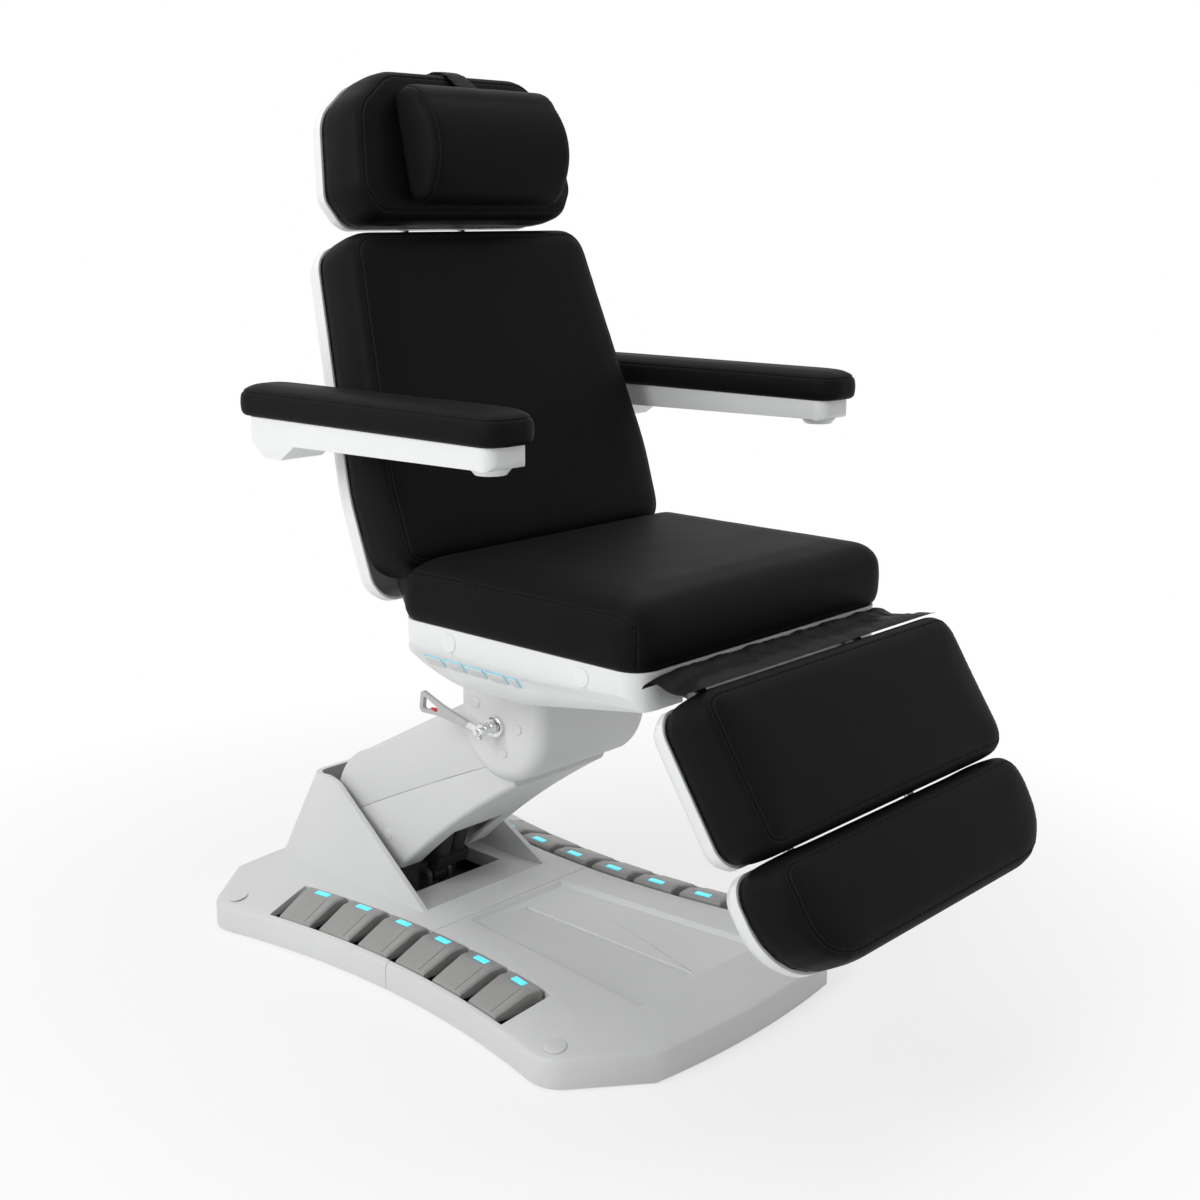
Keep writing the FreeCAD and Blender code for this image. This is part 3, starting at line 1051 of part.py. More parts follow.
def post_bores(radius):
    """Straight holes for the posts through the backrest."""
    bores = []
    for x in (-POST_X, POST_X):
        bore = Part.makeCylinder(radius, BACK_TOP + 120 - POST_LOW, vec(x, POST_LOW - 20, -POST_DEPTH),
                                 vec(0, 1, 0))
        bores.append(lean_back(bore, BACK_LEAN, BACK_Y, BACK_Z))
    return bores


def backrest():
    pad_shape = cushion(back_corners(BACK_LOW), BACK_RADII, BACK_DEPTH, BACK_CROWN)
    # Recesses at the back of the pad clear the hinge ears.
    recess = block(BACK_EAR_X - 3, BACK_EAR_X + EAR_PLATE + 3, BACK_LOW - 30, 74.0,
                   -BACK_DEPTH - 10, -BACK_DEPTH + 17)
    for piece in both_sides(recess):
        pad_shape = pad_shape.cut(piece)
    save("back_cushion", lean_back(pad_shape, BACK_LEAN, BACK_Y, BACK_Z))
    shell = shell_pan(back_corners(BACK_SHELL_LOW), BACK_RADII, BACK_DEPTH, BACK_SHELL_DEPTH)
    ear_slot = block(BACK_EAR_X - EAR_GAP - EAR_PLATE - 3, BACK_EAR_X + EAR_PLATE + 3, BACK_SHELL_LOW - 10,
                     BACK_SHELL_LOW + 40, -BACK_DEPTH - 22, -BACK_DEPTH + 5)
    for slot in both_sides(ear_slot):
        shell = shell.cut(slot)
    shell = lean_back(shell, BACK_LEAN, BACK_Y, BACK_Z)
    shell = shell.cut(rod_x(ARM_PIVOT[0], ARM_PIVOT[1], ARM_TUBE_RADIUS + 0.3, -500, 500))
    for bore in post_bores(POST_RADIUS + 2.0):
        shell = shell.cut(bore)
    save("back_shell", shell.removeSplitter())
    front = -BACK_DEPTH - SHELL_GAP
    plate = block(-210, 210, 18, POST_BLOCK_LOW + 4, front - 4.0, front)
    bridge = block(-POST_X - 26, POST_X + 26, POST_BLOCK_LOW, POST_BLOCK_LOW + POST_BLOCK_HEIGHT,
                   front - 29.0, front)
    frame = plate.fuse(bridge)
    # Saddles carry the armrests' cross tube.
    for x in (-150.0, 150.0):
        frame = frame.fuse(block(x - 30, x + 30, ARM_PIVOT_S - 18, ARM_PIVOT_S + 18,
                                 -ARM_PIVOT_DEPTH, front))
    for x0 in (BACK_EAR_X, -BACK_EAR_X - EAR_PLATE):
        wing = block(200, BACK_EAR_X + EAR_PLATE, 24, 70, front - 10, front)
        frame = frame.fuse(wing if x0 > 0 else mirror_x(wing))
    frame = lean_back(frame, BACK_LEAN, BACK_Y, BACK_Z)
    root = on_slope(BACK_LEAN, BACK_Y, BACK_Z, 52.0, BACK_DEPTH + 13.0)
    for x0 in (BACK_EAR_X, -BACK_EAR_X - EAR_PLATE):
        ear = stadium(BACK_PIVOT, root, EAR_RADIUS - 1, x0, x0 + EAR_PLATE)
        ear = ear.cut(rod_x(BACK_PIVOT[0], BACK_PIVOT[1], HINGE_PIN_RADIUS + RUN_CLEARANCE, -400, 400))
        frame = frame.fuse(ear)
    frame = frame.fuse(rod_x(ARM_PIVOT[0], ARM_PIVOT[1], ARM_TUBE_RADIUS, -ARM_INNER + 2, ARM_INNER - 2))
    for bore in post_bores(POST_RADIUS + RUN_CLEARANCE):
        frame = frame.cut(bore)
    save("back_frame", frame.removeSplitter())


def armrest(side):
    """Upholstered pad on a moulded bracket that turns on the backrest's cross tube."""
    py, pz = ARM_PIVOT
    inner, outer = ARM_INNER, ARM_INNER + ARM_PAD_WIDTH
    corners = [(inner, ARM_PAD_FRONT), (outer, ARM_PAD_FRONT), (outer, ARM_PAD_BACK), (inner, ARM_PAD_BACK)]
    h = ARM_PAD_HEIGHT
    levels = [(0.0, 4.0), (0.14 * h, 1.0), (0.5 * h, 0.0), (0.8 * h, 1.5), (0.98 * h, 9.0), (1.1 * h, 26.0)]
    pad_shape = pad(corners, [34.0] * 4, levels, CUSHION_STEPS)
    pad_shape.translate(vec(0, 0, ARM_PAD_BOTTOM))
    top = ARM_PAD_BOTTOM - 0.3
    low = ARM_BRACKET_BOTTOM
    front, back = ARM_PAD_FRONT + 17, ARM_PAD_BACK - 22
    hub_low = pz - ARM_HUB_RADIUS
    beam = prism([(front, top), (front, low + 14), (front + 8, low + 3, front + 24, low + 2),
                  (py - 60, low - 4), (py - 26, hub_low), (py + 12, hub_low), (back - 6, low + 2),
                  (back, low + 8), (back, top)],
                 "x", inner + ARM_BRACKET_INSET, outer - ARM_BRACKET_INSET)
    ends = edges_at(beam, lambda e: is_upright(e) and e.BoundBox.ZLength > 5)
    beam = beam.makeFillet(22.0, ends)
    taper = (BACK_MID_HALF - BACK_TOP_HALF) / (BACK_TOP - BACK_MID)
    shell_edge = BACK_MID_HALF - taper * (ARM_PIVOT_S - BACK_MID)
    hub = rod_x(py, pz, ARM_HUB_RADIUS, shell_edge + ARM_HUB_GAP, inner + ARM_BRACKET_INSET + 4)
    disc = Part.makeCone(ARM_DISC_RADIUS - 7, ARM_DISC_RADIUS, 9.0,
                         vec((inner + outer) / 2, ARM_DISC_Y, low - 8))
    bracket = beam.fuse(hub).fuse(disc)
    bracket = bracket.cut(rod_x(py, pz, ARM_TUBE_RADIUS + RUN_CLEARANCE, 0, ARM_INNER - 1))
    bracket = bracket.removeSplitter()
    if side == "right":
        bracket, pad_shape = mirror_x(bracket), mirror_x(pad_shape)
    save("arm_%s_bracket" % side, bracket)
    save("arm_%s_pad" % side, pad_shape)


def headrest():
    corners = [(-HEAD_LOW_HALF, HEAD_LOW), (HEAD_LOW_HALF, HEAD_LOW), (HEAD_HALF, HEAD_WIDE),
               (HEAD_SHOULDER_HALF, HEAD_SHOULDER), (HEAD_TOP_HALF, HEAD_TOP), (-HEAD_TOP_HALF, HEAD_TOP),
               (-HEAD_SHOULDER_HALF, HEAD_SHOULDER), (-HEAD_HALF, HEAD_WIDE)]
    radii = [40.0, 40.0, 34.0, 70.0, 70.0, 70.0, 70.0, 34.0]
    pad_shape = cushion(corners, radii, HEAD_DEPTH, HEAD_CROWN, 44.0)
    save("headrest_cushion", lean_back(pad_shape, HEAD_LEAN, HEAD_Y, HEAD_Z))
    shell = shell_pan(corners, radii, HEAD_DEPTH, SHELL_DEPTH)
    shell = lean_back(shell, HEAD_LEAN, HEAD_Y, HEAD_Z)
    for post in head_posts(POST_RADIUS, POST_LOW):
        shell = shell.cut(post)
    save("headrest_shell", shell.removeSplitter())
    front = -HEAD_DEPTH - SHELL_GAP
    bar = block(-120, 120, 20, POST_HIGH + 5, front - 25.0, front)
    bar = lean_back(bar, HEAD_LEAN, HEAD_Y, HEAD_Z)
    posts = bar
    for post in head_posts(POST_RADIUS, POST_LOW):
        posts = posts.fuse(post)
    save("headrest_posts", posts.removeSplitter())
    rear = HEAD_CROWN + PILLOW_GAP

    def section(x, inset):
        low, high = PILLOW_LOW + inset, PILLOW_HIGH - inset
        depth = PILLOW_DEPTH - 2 * inset
        near = rear + inset
        return profile([(low + 10, near), (low - 4, near + 0.3 * depth, low + 16, near + 0.72 * depth),
                        ((low + high) / 2 - 4, near + depth + 2, high - 24, near + 0.8 * depth),
                        (high + 6, near + 0.4 * depth, high - 4, near)], "x", x)

    rounding = [(0.0, 14.0), (4.0, 6.0), (14.0, 0.0)]
    sections = [section(run - PILLOW_HALF, inset) for run, inset in rounding]
    sections += [section(PILLOW_HALF - run, inset) for run, inset in reversed(rounding)]
    pillow = Part.makeLoft(sections, True, True)
    half = STRAP_WIDTH / 2
    thick = STRAP_THICKNESS
    top, back = HEAD_TOP + 3.0, -HEAD_DEPTH - SHELL_GAP - SHELL_DEPTH - 0.6
    strap = prism([(PILLOW_HIGH + 4, rear + 0.2 * PILLOW_DEPTH), (top - 4, 2.0), (top, -30.0), (top, back + 6),
                   (top - 16, back), (top - 90, back), (top - 90, back - thick), (top - 15, back - thick),
                   (top + thick, back + 5), (top + thick, -29.0), (top - 1, 4.0),
                   (PILLOW_HIGH + 4, rear + 0.2 * PILLOW_DEPTH + 4.0)], "x", -half, half)
    save("neck_pillow", group([lean_back(pillow, HEAD_LEAN, HEAD_Y, HEAD_Z),
                               lean_back(strap, HEAD_LEAN, HEAD_Y, HEAD_Z)]))


def legrest():
    corners = [(-LEG_HALF, CALF_LOW), (LEG_HALF, CALF_LOW), (LEG_HALF, CALF_HIGH), (-LEG_HALF, CALF_HIGH)]
    pad_shape = cushion(corners, [CALF_CORNER] * 4, CALF_DEPTH, CALF_CROWN)
    save("calf_cushion", lean_back(pad_shape, LEG_LEAN, LEG_Y, LEG_Z))
    shell = shell_pan(corners, [CALF_CORNER] * 4, CALF_DEPTH, SHELL_DEPTH)
    inner = LEG_EAR_X - EAR_GAP - EAR_PLATE
    slot = block(inner - 3, LEG_EAR_X + EAR_PLATE + 3, CALF_HIGH - 40, CALF_HIGH + 30,
                 -CALF_DEPTH - 40, -CALF_DEPTH + 5)
    for piece in both_sides(slot):
        shell = shell.cut(piece)
    rail = Part.makeCylinder(RAIL_RADIUS + 1.0, 60.0, vec(RAIL_X, CALF_LOW - 20, -RAIL_DEPTH), vec(0, 1, 0))
    for piece in both_sides(rail):
        shell = shell.cut(piece)
    save("calf_shell", lean_back(shell, LEG_LEAN, LEG_Y, LEG_Z).removeSplitter())
    front = -CALF_DEPTH - SHELL_GAP
    frame = block(-215, 215, CALF_LOW + 14, CALF_HIGH - 26, front - 6.0, front)
    guide = block(RAIL_X - 14, RAIL_X + 14, -RAIL_BLOCK / 2, RAIL_BLOCK / 2, front - 25.0, front)
    for piece in both_sides(guide):
        frame = frame.fuse(piece)
    bore = Part.makeCylinder(RAIL_RADIUS + RUN_CLEARANCE, 400.0, vec(RAIL_X, -200.0, -RAIL_DEPTH), vec(0, 1, 0))
    for piece in both_sides(bore):
        frame = frame.cut(piece)
    frame = lean_back(frame, LEG_LEAN, LEG_Y, LEG_Z)
    root = on_slope(LEG_LEAN, LEG_Y, LEG_Z, CALF_HIGH - 46, CALF_DEPTH + 12.0)
    for x0 in (LEG_EAR_X, -LEG_EAR_X - EAR_PLATE):
        ear = stadium(LEG_PIVOT, root, EAR_RADIUS - 2, x0, x0 + EAR_PLATE)
        frame = frame.fuse(ear)
    frame = frame.cut(rod_x(LEG_PIVOT[0], LEG_PIVOT[1], HINGE_PIN_RADIUS + RUN_CLEARANCE, -400, 400))
    save("leg_frame", frame.removeSplitter())


RAIL_DEPTH = CALF_DEPTH + SHELL_GAP + 14.0


def footrest():
    corners = [(-LEG_HALF, FOOT_PAD_LOW), (LEG_HALF, FOOT_PAD_LOW), (LEG_HALF, FOOT_PAD_HIGH),
               (-LEG_HALF, FOOT_PAD_HIGH)]
    radii = [FOOT_PAD_CORNER, FOOT_PAD_CORNER, CALF_CORNER, CALF_CORNER]
    pad_shape = cushion(corners, radii, CALF_DEPTH, CALF_CROWN)
    save("foot_cushion", lean_back(pad_shape, LEG_LEAN, LEG_Y, LEG_Z))
    shell = shell_pan(corners, radii, CALF_DEPTH, SHELL_DEPTH)
    low, high = FOOT_PAD_LOW + 16, RAIL_HIGH
    rail = Part.makeCylinder(RAIL_RADIUS, high - low, vec(RAIL_X, low, -RAIL_DEPTH), vec(0, 1, 0))
    for piece in both_sides(rail):
        shell = shell.cut(piece)
    save("foot_shell", lean_back(shell, LEG_LEAN, LEG_Y, LEG_Z).removeSplitter())
    front = -CALF_DEPTH - SHELL_GAP
    bar = block(-RAIL_X - 20, RAIL_X + 20, FOOT_PAD_LOW + 44, FOOT_PAD_HIGH - 40, front - 25.0, front)
    rails = bar
    for piece in both_sides(rail):
        rails = rails.fuse(piece)
    save("foot_rails", lean_back(rails.removeSplitter(), LEG_LEAN, LEG_Y, LEG_Z))


def leg_gaiter():
    """Loose folded cover that bridges the tray's front wall and the top of the calf pad."""
    gap = 0.4
    calf_top = on_slope(LEG_LEAN, LEG_Y, LEG_Z, CALF_HIGH + gap, 8.0)
    calf_low = on_slope(LEG_LEAN, LEG_Y, LEG_Z, CALF_HIGH + gap, CALF_DEPTH - 22.0)
    wall = TRAY_FRONT - gap
    high = SEAT_BOTTOM - 3.0
    step = (wall - calf_top[0]) / 3
    outline = [(wall, high - 15), (wall, high), (wall - 0.5 * step, high + 14, wall - step, high + 3),
               (wall - 1.5 * step, high + 16, wall - 2 * step, high + 5),
               (wall - 2.6 * step, high + 15) + calf_top, calf_low]
    save("leg_gaiter", prism(outline, "x", -GAITER_HALF, GAITER_HALF))


base_covers()
base_plate()
base_pins()
levelling_feet()
save("mains_inlet", mains_inlet())
pedals()
arm_covers()
lift_beam()
level_link()
lift_actuator()
yoke()
lock_lever()
seat_tray()
buttons()
seat_frame()
tray_motors()
seat_cushion()
backrest()
armrest("left")
armrest("right")
headrest()
legrest()
footrest()
leg_gaiter()
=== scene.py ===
import json
import math

import bpy
import numpy
from mathutils import Matrix, Vector, noise
from mathutils.kdtree import KDTree

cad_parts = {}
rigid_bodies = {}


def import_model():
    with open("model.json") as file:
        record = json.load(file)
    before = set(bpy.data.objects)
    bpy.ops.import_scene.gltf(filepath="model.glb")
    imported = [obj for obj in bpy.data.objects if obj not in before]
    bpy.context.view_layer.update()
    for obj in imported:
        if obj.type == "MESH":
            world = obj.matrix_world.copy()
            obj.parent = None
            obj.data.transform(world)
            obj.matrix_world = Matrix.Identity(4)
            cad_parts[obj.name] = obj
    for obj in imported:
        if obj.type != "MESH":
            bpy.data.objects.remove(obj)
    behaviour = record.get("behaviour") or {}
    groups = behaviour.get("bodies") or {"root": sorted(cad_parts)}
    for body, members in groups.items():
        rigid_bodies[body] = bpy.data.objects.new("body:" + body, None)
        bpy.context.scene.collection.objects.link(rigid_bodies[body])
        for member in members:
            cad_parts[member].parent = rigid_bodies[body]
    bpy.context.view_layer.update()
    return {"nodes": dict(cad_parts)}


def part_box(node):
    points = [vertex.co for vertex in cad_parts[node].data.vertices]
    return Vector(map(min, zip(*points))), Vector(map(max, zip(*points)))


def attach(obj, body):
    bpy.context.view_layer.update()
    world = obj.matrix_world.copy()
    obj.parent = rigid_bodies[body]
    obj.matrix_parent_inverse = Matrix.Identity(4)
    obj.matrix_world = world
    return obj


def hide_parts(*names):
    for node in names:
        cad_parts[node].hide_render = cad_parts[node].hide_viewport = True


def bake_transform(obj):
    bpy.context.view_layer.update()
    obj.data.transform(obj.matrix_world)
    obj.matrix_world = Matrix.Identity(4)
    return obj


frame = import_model()
nodes = frame["nodes"]


# Steel base plate, feet and pivot pins
# A thick cut plate with welded brackets for the lift arm, coated dark grey, standing on rubber
# feet. The pins are ground steel, held in the brackets' holes.
def new_material(name, colour, roughness, metallic=0.0):
    material = bpy.data.materials.new(name)
    material.use_nodes = True
    shader = material.node_tree.nodes["Principled BSDF"]
    shader.inputs["Base Color"].default_value = (*colour, 1.0)
    shader.inputs["Roughness"].default_value = roughness
    shader.inputs["Metallic"].default_value = metallic
    return material


def add_node(material, kind, **settings):
    node = material.node_tree.nodes.new(kind)
    for key, value in settings.items():
        if key in node.inputs:
            node.inputs[key].default_value = value
        else:
            setattr(node, key, value)
    return node


def wire(material, source, output, target, socket):
    material.node_tree.links.new(source.outputs[output], target.inputs[socket])


def add_range(material, low, high):
    """Node that maps a value from 0 to 1 to the given range."""
    node = add_node(material, "ShaderNodeMapRange")
    node.inputs["To Min"].default_value = low
    node.inputs["To Max"].default_value = high
    return node


def add_clouds(material, light, dark, rough_low, rough_high, scale, detail=4.0, light_from=0.7):
    """Cloudy colour and gloss on the piece's own coordinates; gives back the coordinates' node."""
    shader = material.node_tree.nodes["Principled BSDF"]
    place = add_node(material, "ShaderNodeTexCoord")
    cloud = add_node(material, "ShaderNodeTexNoise", Scale=scale, Detail=detail, Roughness=0.6)
    wire(material, place, "Object", cloud, "Vector")
    tint = add_node(material, "ShaderNodeValToRGB")
    tint.color_ramp.elements[0].position = 0.3
    tint.color_ramp.elements[0].color = (*dark, 1.0)
    tint.color_ramp.elements[1].position = light_from
    tint.color_ramp.elements[1].color = (*light, 1.0)
    wire(material, cloud, "Fac", tint, "Fac")
    wire(material, tint, "Color", shader, "Base Color")
    gloss = add_range(material, rough_low, rough_high)
    wire(material, cloud, "Fac", gloss, "Value")
    wire(material, gloss, "Result", shader, "Roughness")
    return place


def add_surface(material, light, dark, rough_low, rough_high, cloud_scale, grain_scale, grain_depth):
    """Cloudy colour and gloss, and a fine grain, all read from the piece's own coordinates."""
    place = add_clouds(material, light, dark, rough_low, rough_high, cloud_scale)
    grain = add_node(material, "ShaderNodeTexNoise", Scale=grain_scale, Detail=2.0, Roughness=0.5)
    wire(material, place, "Object", grain, "Vector")
    bump = add_node(material, "ShaderNodeBump", Strength=0.4, Distance=grain_depth)
    wire(material, grain, "Fac", bump, "Height")
    wire(material, bump, "Normal", material.node_tree.nodes["Principled BSDF"], "Normal")


def paint(node, material):
    """A CAD solid whose shape is right keeps its mesh and gets its finish."""
    nodes[node].data.materials.clear()
    nodes[node].data.materials.append(material)


powder_coat = new_material("powder_coat", (0.10, 0.10, 0.105), 0.5)
add_surface(powder_coat, (0.11, 0.11, 0.115), (0.085, 0.085, 0.09), 0.42, 0.58, 9.0, 1400.0, 0.0003)
ground_steel = new_material("ground_steel", (0.55, 0.55, 0.56), 0.28, 1.0)
add_surface(ground_steel, (0.58, 0.58, 0.59), (0.48, 0.48, 0.49), 0.2, 0.36, 40.0, 900.0, 0.0001)
black_rubber = new_material("black_rubber", (0.02, 0.02, 0.02), 0.8)
add_surface(black_rubber, (0.024, 0.024, 0.024), (0.014, 0.014, 0.014), 0.7, 0.9, 30.0, 1100.0, 0.0003)
paint("base_plate", powder_coat)
paint("levelling_feet", black_rubber)
paint("tower_pins", ground_steel)


# Base covers and tower
# Two thick grey mouldings that meet across the middle of the base. The rear one carries the
# tower round the arm's foot; both are screwed down at the corners.
merge_distance = 0.00002
flat_within = math.radians(0.5)
smooth_within = math.radians(40.0)


def deselect():
    bpy.ops.object.select_all(action="DESELECT")


def activate(piece):
    deselect()
    piece.select_set(True)
    bpy.context.view_layer.objects.active = piece


def apply_modifiers(piece):
    activate(piece)
    for modifier in list(piece.modifiers):
        bpy.ops.object.modifier_apply(modifier=modifier.name)


def copy_of(node, name):
    """Merged copy of a CAD solid's mesh, as a new object at the origin."""
    piece = bpy.data.objects.new(name, nodes[node].data.copy())
    bpy.context.scene.collection.objects.link(piece)
    piece.data.materials.clear()
    activate(piece)
    bpy.ops.object.mode_set(mode="EDIT")
    bpy.ops.mesh.select_all(action="SELECT")
    bpy.ops.mesh.remove_doubles(threshold=merge_distance)
    bpy.ops.object.mode_set(mode="OBJECT")
    return piece


def fit_out(piece, body, slot, material, *stands_for):
    """Gives a piece its finish and says which body carries it and what it stands for."""
    piece.data.materials.clear()
    piece.data.materials.append(material)
    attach(piece, body)
    if stands_for:
        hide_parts(*stands_for)
    return piece


def moulded(node, edge, body, slot, material, angle=38.0):
    """A CAD solid with its sharp edges softened, as a moulding leaves its tool."""
    piece = copy_of(node, node + "_moulding")
    bpy.ops.object.mode_set(mode="EDIT")
    bpy.ops.mesh.select_all(action="SELECT")
    bpy.ops.mesh.dissolve_limited(angle_limit=flat_within)
    bpy.ops.object.mode_set(mode="OBJECT")
    soften = piece.modifiers.new("softened_edges", "BEVEL")
    soften.width = edge
    soften.segments = 3
    soften.limit_method = "ANGLE"
    soften.angle_limit = math.radians(angle)
    soften.miter_outer = "MITER_ARC"
    apply_modifiers(piece)
    bpy.ops.object.shade_smooth_by_angle(angle=math.radians(angle))
    return fit_out(piece, body, slot, material, node)


base_plastic = new_material("base_plastic", (0.7, 0.71, 0.7), 0.5)
add_surface(base_plastic, (0.715, 0.725, 0.715), (0.675, 0.685, 0.68), 0.42, 0.56, 3.5, 1500.0, 0.00025)
moulded("base_cover_front", 0.0025, "base", "base_grey", base_plastic)
moulded("base_cover_rear", 0.0025, "base", "base_grey", base_plastic)


# Screw caps on the base
# Shallow round caps of the base's own grey plastic. They are pressed into the covers over the
# screws at the four corners.
def select_faces(piece, chosen):
    """Goes into edit mode with only the faces selected that the test picks."""
    activate(piece)
    bpy.ops.object.mode_set(mode="EDIT")
    bpy.ops.mesh.select_mode(type="FACE")
    bpy.ops.mesh.select_all(action="DESELECT")
    bpy.ops.object.mode_set(mode="OBJECT")
    for face in piece.data.polygons:
        face.select = chosen(face)
    bpy.ops.object.mode_set(mode="EDIT")


def face_outward(piece):
    """Turns all faces of a piece to its outside."""
    activate(piece)
    bpy.ops.object.mode_set(mode="EDIT")
    bpy.ops.mesh.select_all(action="SELECT")
    bpy.ops.mesh.normals_make_consistent(inside=False)
    bpy.ops.object.mode_set(mode="OBJECT")


def screw_cap(name, radius, height, centre, facing, body, slot, material):
    """Low domed disc, sunk a little into a surface that faces the given way."""
    sunk = 0.0004
    upright = Vector(facing).normalized()
    deselect()
    bpy.ops.mesh.primitive_cylinder_add(vertices=40, radius=radius, depth=height)
    cap = bpy.context.object
    cap.name = name
    select_faces(cap, lambda face: face.normal.z > 0.9)
    bpy.ops.mesh.bevel(offset=height * 0.7, segments=4)
    bpy.ops.object.mode_set(mode="OBJECT")
    face_outward(cap)
    cap.rotation_euler = Vector((0, 0, 1)).rotation_difference(upright).to_euler()
    cap.location = Vector(centre) + upright * (height / 2 - sunk)
    bpy.ops.object.transform_apply(location=True, rotation=True, scale=True)
    bpy.ops.object.shade_smooth_by_angle(angle=smooth_within)
    return fit_out(cap, body, slot, material)


both_sides = ((-1, "right"), (1, "left"))
base_cap_across, base_cap_height = 0.306, 0.0555
base_cap_rows = ((-1, "front", -0.402), (1, "rear", 0.385))
for side, side_name in both_sides:
    for end, end_name, along in base_cap_rows:
        screw_cap("base_cap_%s_%s" % (side_name, end_name), 0.017, 0.0025,
                  (side * base_cap_across, along, base_cap_height), (side * 0.14, end * 0.12, 1.0),
                  "base", "base_grey", base_plastic)


# Mains inlet
# A black moulded socket for a lead that plugs in. It stands on the base plate and its mouth
# shows in the back edge of the rear cover.
dark_plastic = new_material("dark_plastic", (0.03, 0.03, 0.032), 0.5)
add_surface(dark_plastic, (0.034, 0.034, 0.036), (0.022, 0.022, 0.024), 0.42, 0.6, 14.0, 1300.0, 0.0003)
moulded("mains_inlet", 0.0008, "base", "dark_plastic", dark_plastic)


# Pedal trays and pedals
# Each side has a row of grey moulded pedals in a dark tray. A pedal tips on a steel pin near its
# inner end, and a lit lens is set flush in its flat top.
paint("pedal_trays", dark_plastic)
paint("pedal_pins", ground_steel)
pedal_plastic = new_material("pedal_plastic", (0.33, 0.33, 0.32), 0.42)
add_surface(pedal_plastic, (0.345, 0.345, 0.335), (0.31, 0.31, 0.305), 0.36, 0.5, 16.0, 1500.0, 0.0002)
lens_light = new_material("lens_light", (0.10, 0.72, 0.95), 0.25)
lens_shader = lens_light.node_tree.nodes["Principled BSDF"]
lens_shader.inputs["Emission Color"].default_value = (0.12, 0.80, 1.0, 1.0)
lens_place = add_node(lens_light, "ShaderNodeTexCoord")
lens_noise = add_node(lens_light, "ShaderNodeTexNoise", Scale=120.0, Detail=1.0)
lens_glow = add_range(lens_light, 0.5, 0.75)
wire(lens_light, lens_place, "Object", lens_noise, "Vector")
wire(lens_light, lens_noise, "Fac", lens_glow, "Value")
wire(lens_light, lens_glow, "Result", lens_shader, "Emission Strength")


def rounded_block(name, size, rounding, turn, place, tip=1.0, tip_drop=0.0):
    """Small block with rounded edges, put in its place; its far end can be thinner and lower."""
    deselect()
    bpy.ops.mesh.primitive_cube_add(size=1.0)
    block = bpy.context.object
    block.name = name
    block.scale = size
    bpy.ops.object.transform_apply(location=False, rotation=False, scale=True)
    for vertex in block.data.vertices:
        if vertex.co.y > 0:
            vertex.co.z = vertex.co.z * tip - tip_drop
    bpy.ops.object.mode_set(mode="EDIT")
    bpy.ops.mesh.select_all(action="SELECT")
    bpy.ops.mesh.bevel(offset=rounding, segments=3)
    bpy.ops.object.mode_set(mode="OBJECT")
    block.rotation_euler = turn
    block.location = place
    bpy.ops.object.transform_apply(location=True, rotation=True, scale=True)
    bpy.ops.object.shade_smooth_by_angle(angle=smooth_within)
    return block


fan_centre, fan_middle = 1.867, 2.5
lens_radius, lens_height = 1.6595, 0.076
lens_size = (0.0116, 0.0296, 0.0022)
pedal_pitch = math.radians(3.4)
for side_name, side in (("left", 1), ("right", -1)):
    for index in range(6):
        body = "pedal_%s_%d" % (side_name, index + 1)
        moulded(body, 0.0018, body, "pedal_grey", pedal_plastic)
        angle = pedal_pitch * (index - fan_middle)
        across = side * (fan_centre - lens_radius * math.cos(angle))
        along = lens_radius * math.sin(angle)
        lens = rounded_block("pedal_lens_%s_%d" % (side_name, index + 1), lens_size, 0.0007,
                             (0.0, 0.0, -side * angle), (across, along, lens_height))
        fit_out(lens, body, "pedal_grey", lens_light)


# Lift arm's steelwork and actuator
# Two flat bars on thick pins, a thinner levelling bar under each, and an electric actuator that
# pushes up between them. Only their lower ends show, in the dark of the tower.
paint("lift_beam", powder_coat)
paint("level_link", powder_coat)
paint("lift_actuator", dark_plastic)
paint("lift_rod", ground_steel)


# Arm covers
# An upper and a lower grey moulding close round the arm and meet in a fine curved line.
# Round caps hide the screws into the cross bars.
moulded("arm_cover_upper", 0.0014, "lift_arm", "base_grey", base_plastic)
moulded("arm_cover_lower", 0.0014, "lift_arm", "base_grey", base_plastic)
for side, side_name in both_sides:
    screw_cap("arm_cap_low_" + side_name, 0.009, 0.0022, (side * 0.107, 0.205, 0.164), (side, 0, 0),
              "lift_arm", "base_grey", base_plastic)


# Yoke and swivel ring
# A grey moulding whose cheeks stand on both sides of the arm's head and carry the seat. Its round
# underside lets the arm turn; a plain steel ring on top is the seat's bearing.
moulded("yoke_housing", 0.0016, "yoke", "base_grey", base_plastic)
paint("yoke_pins", ground_steel)
paint("swivel_ring", ground_steel)
yoke_half = 0.13
yoke_caps = (("front", -0.151, 0.4415), ("low", -0.117, 0.395), ("rear", -0.056, 0.468))
for side, side_name in both_sides:
    for cap_name, along, height in yoke_caps:
        screw_cap("yoke_cap_%s_%s" % (cap_name, side_name), 0.0085, 0.0026,
                  (side * yoke_half, along, height), (side, 0, 0), "yoke", "base_grey", base_plastic)


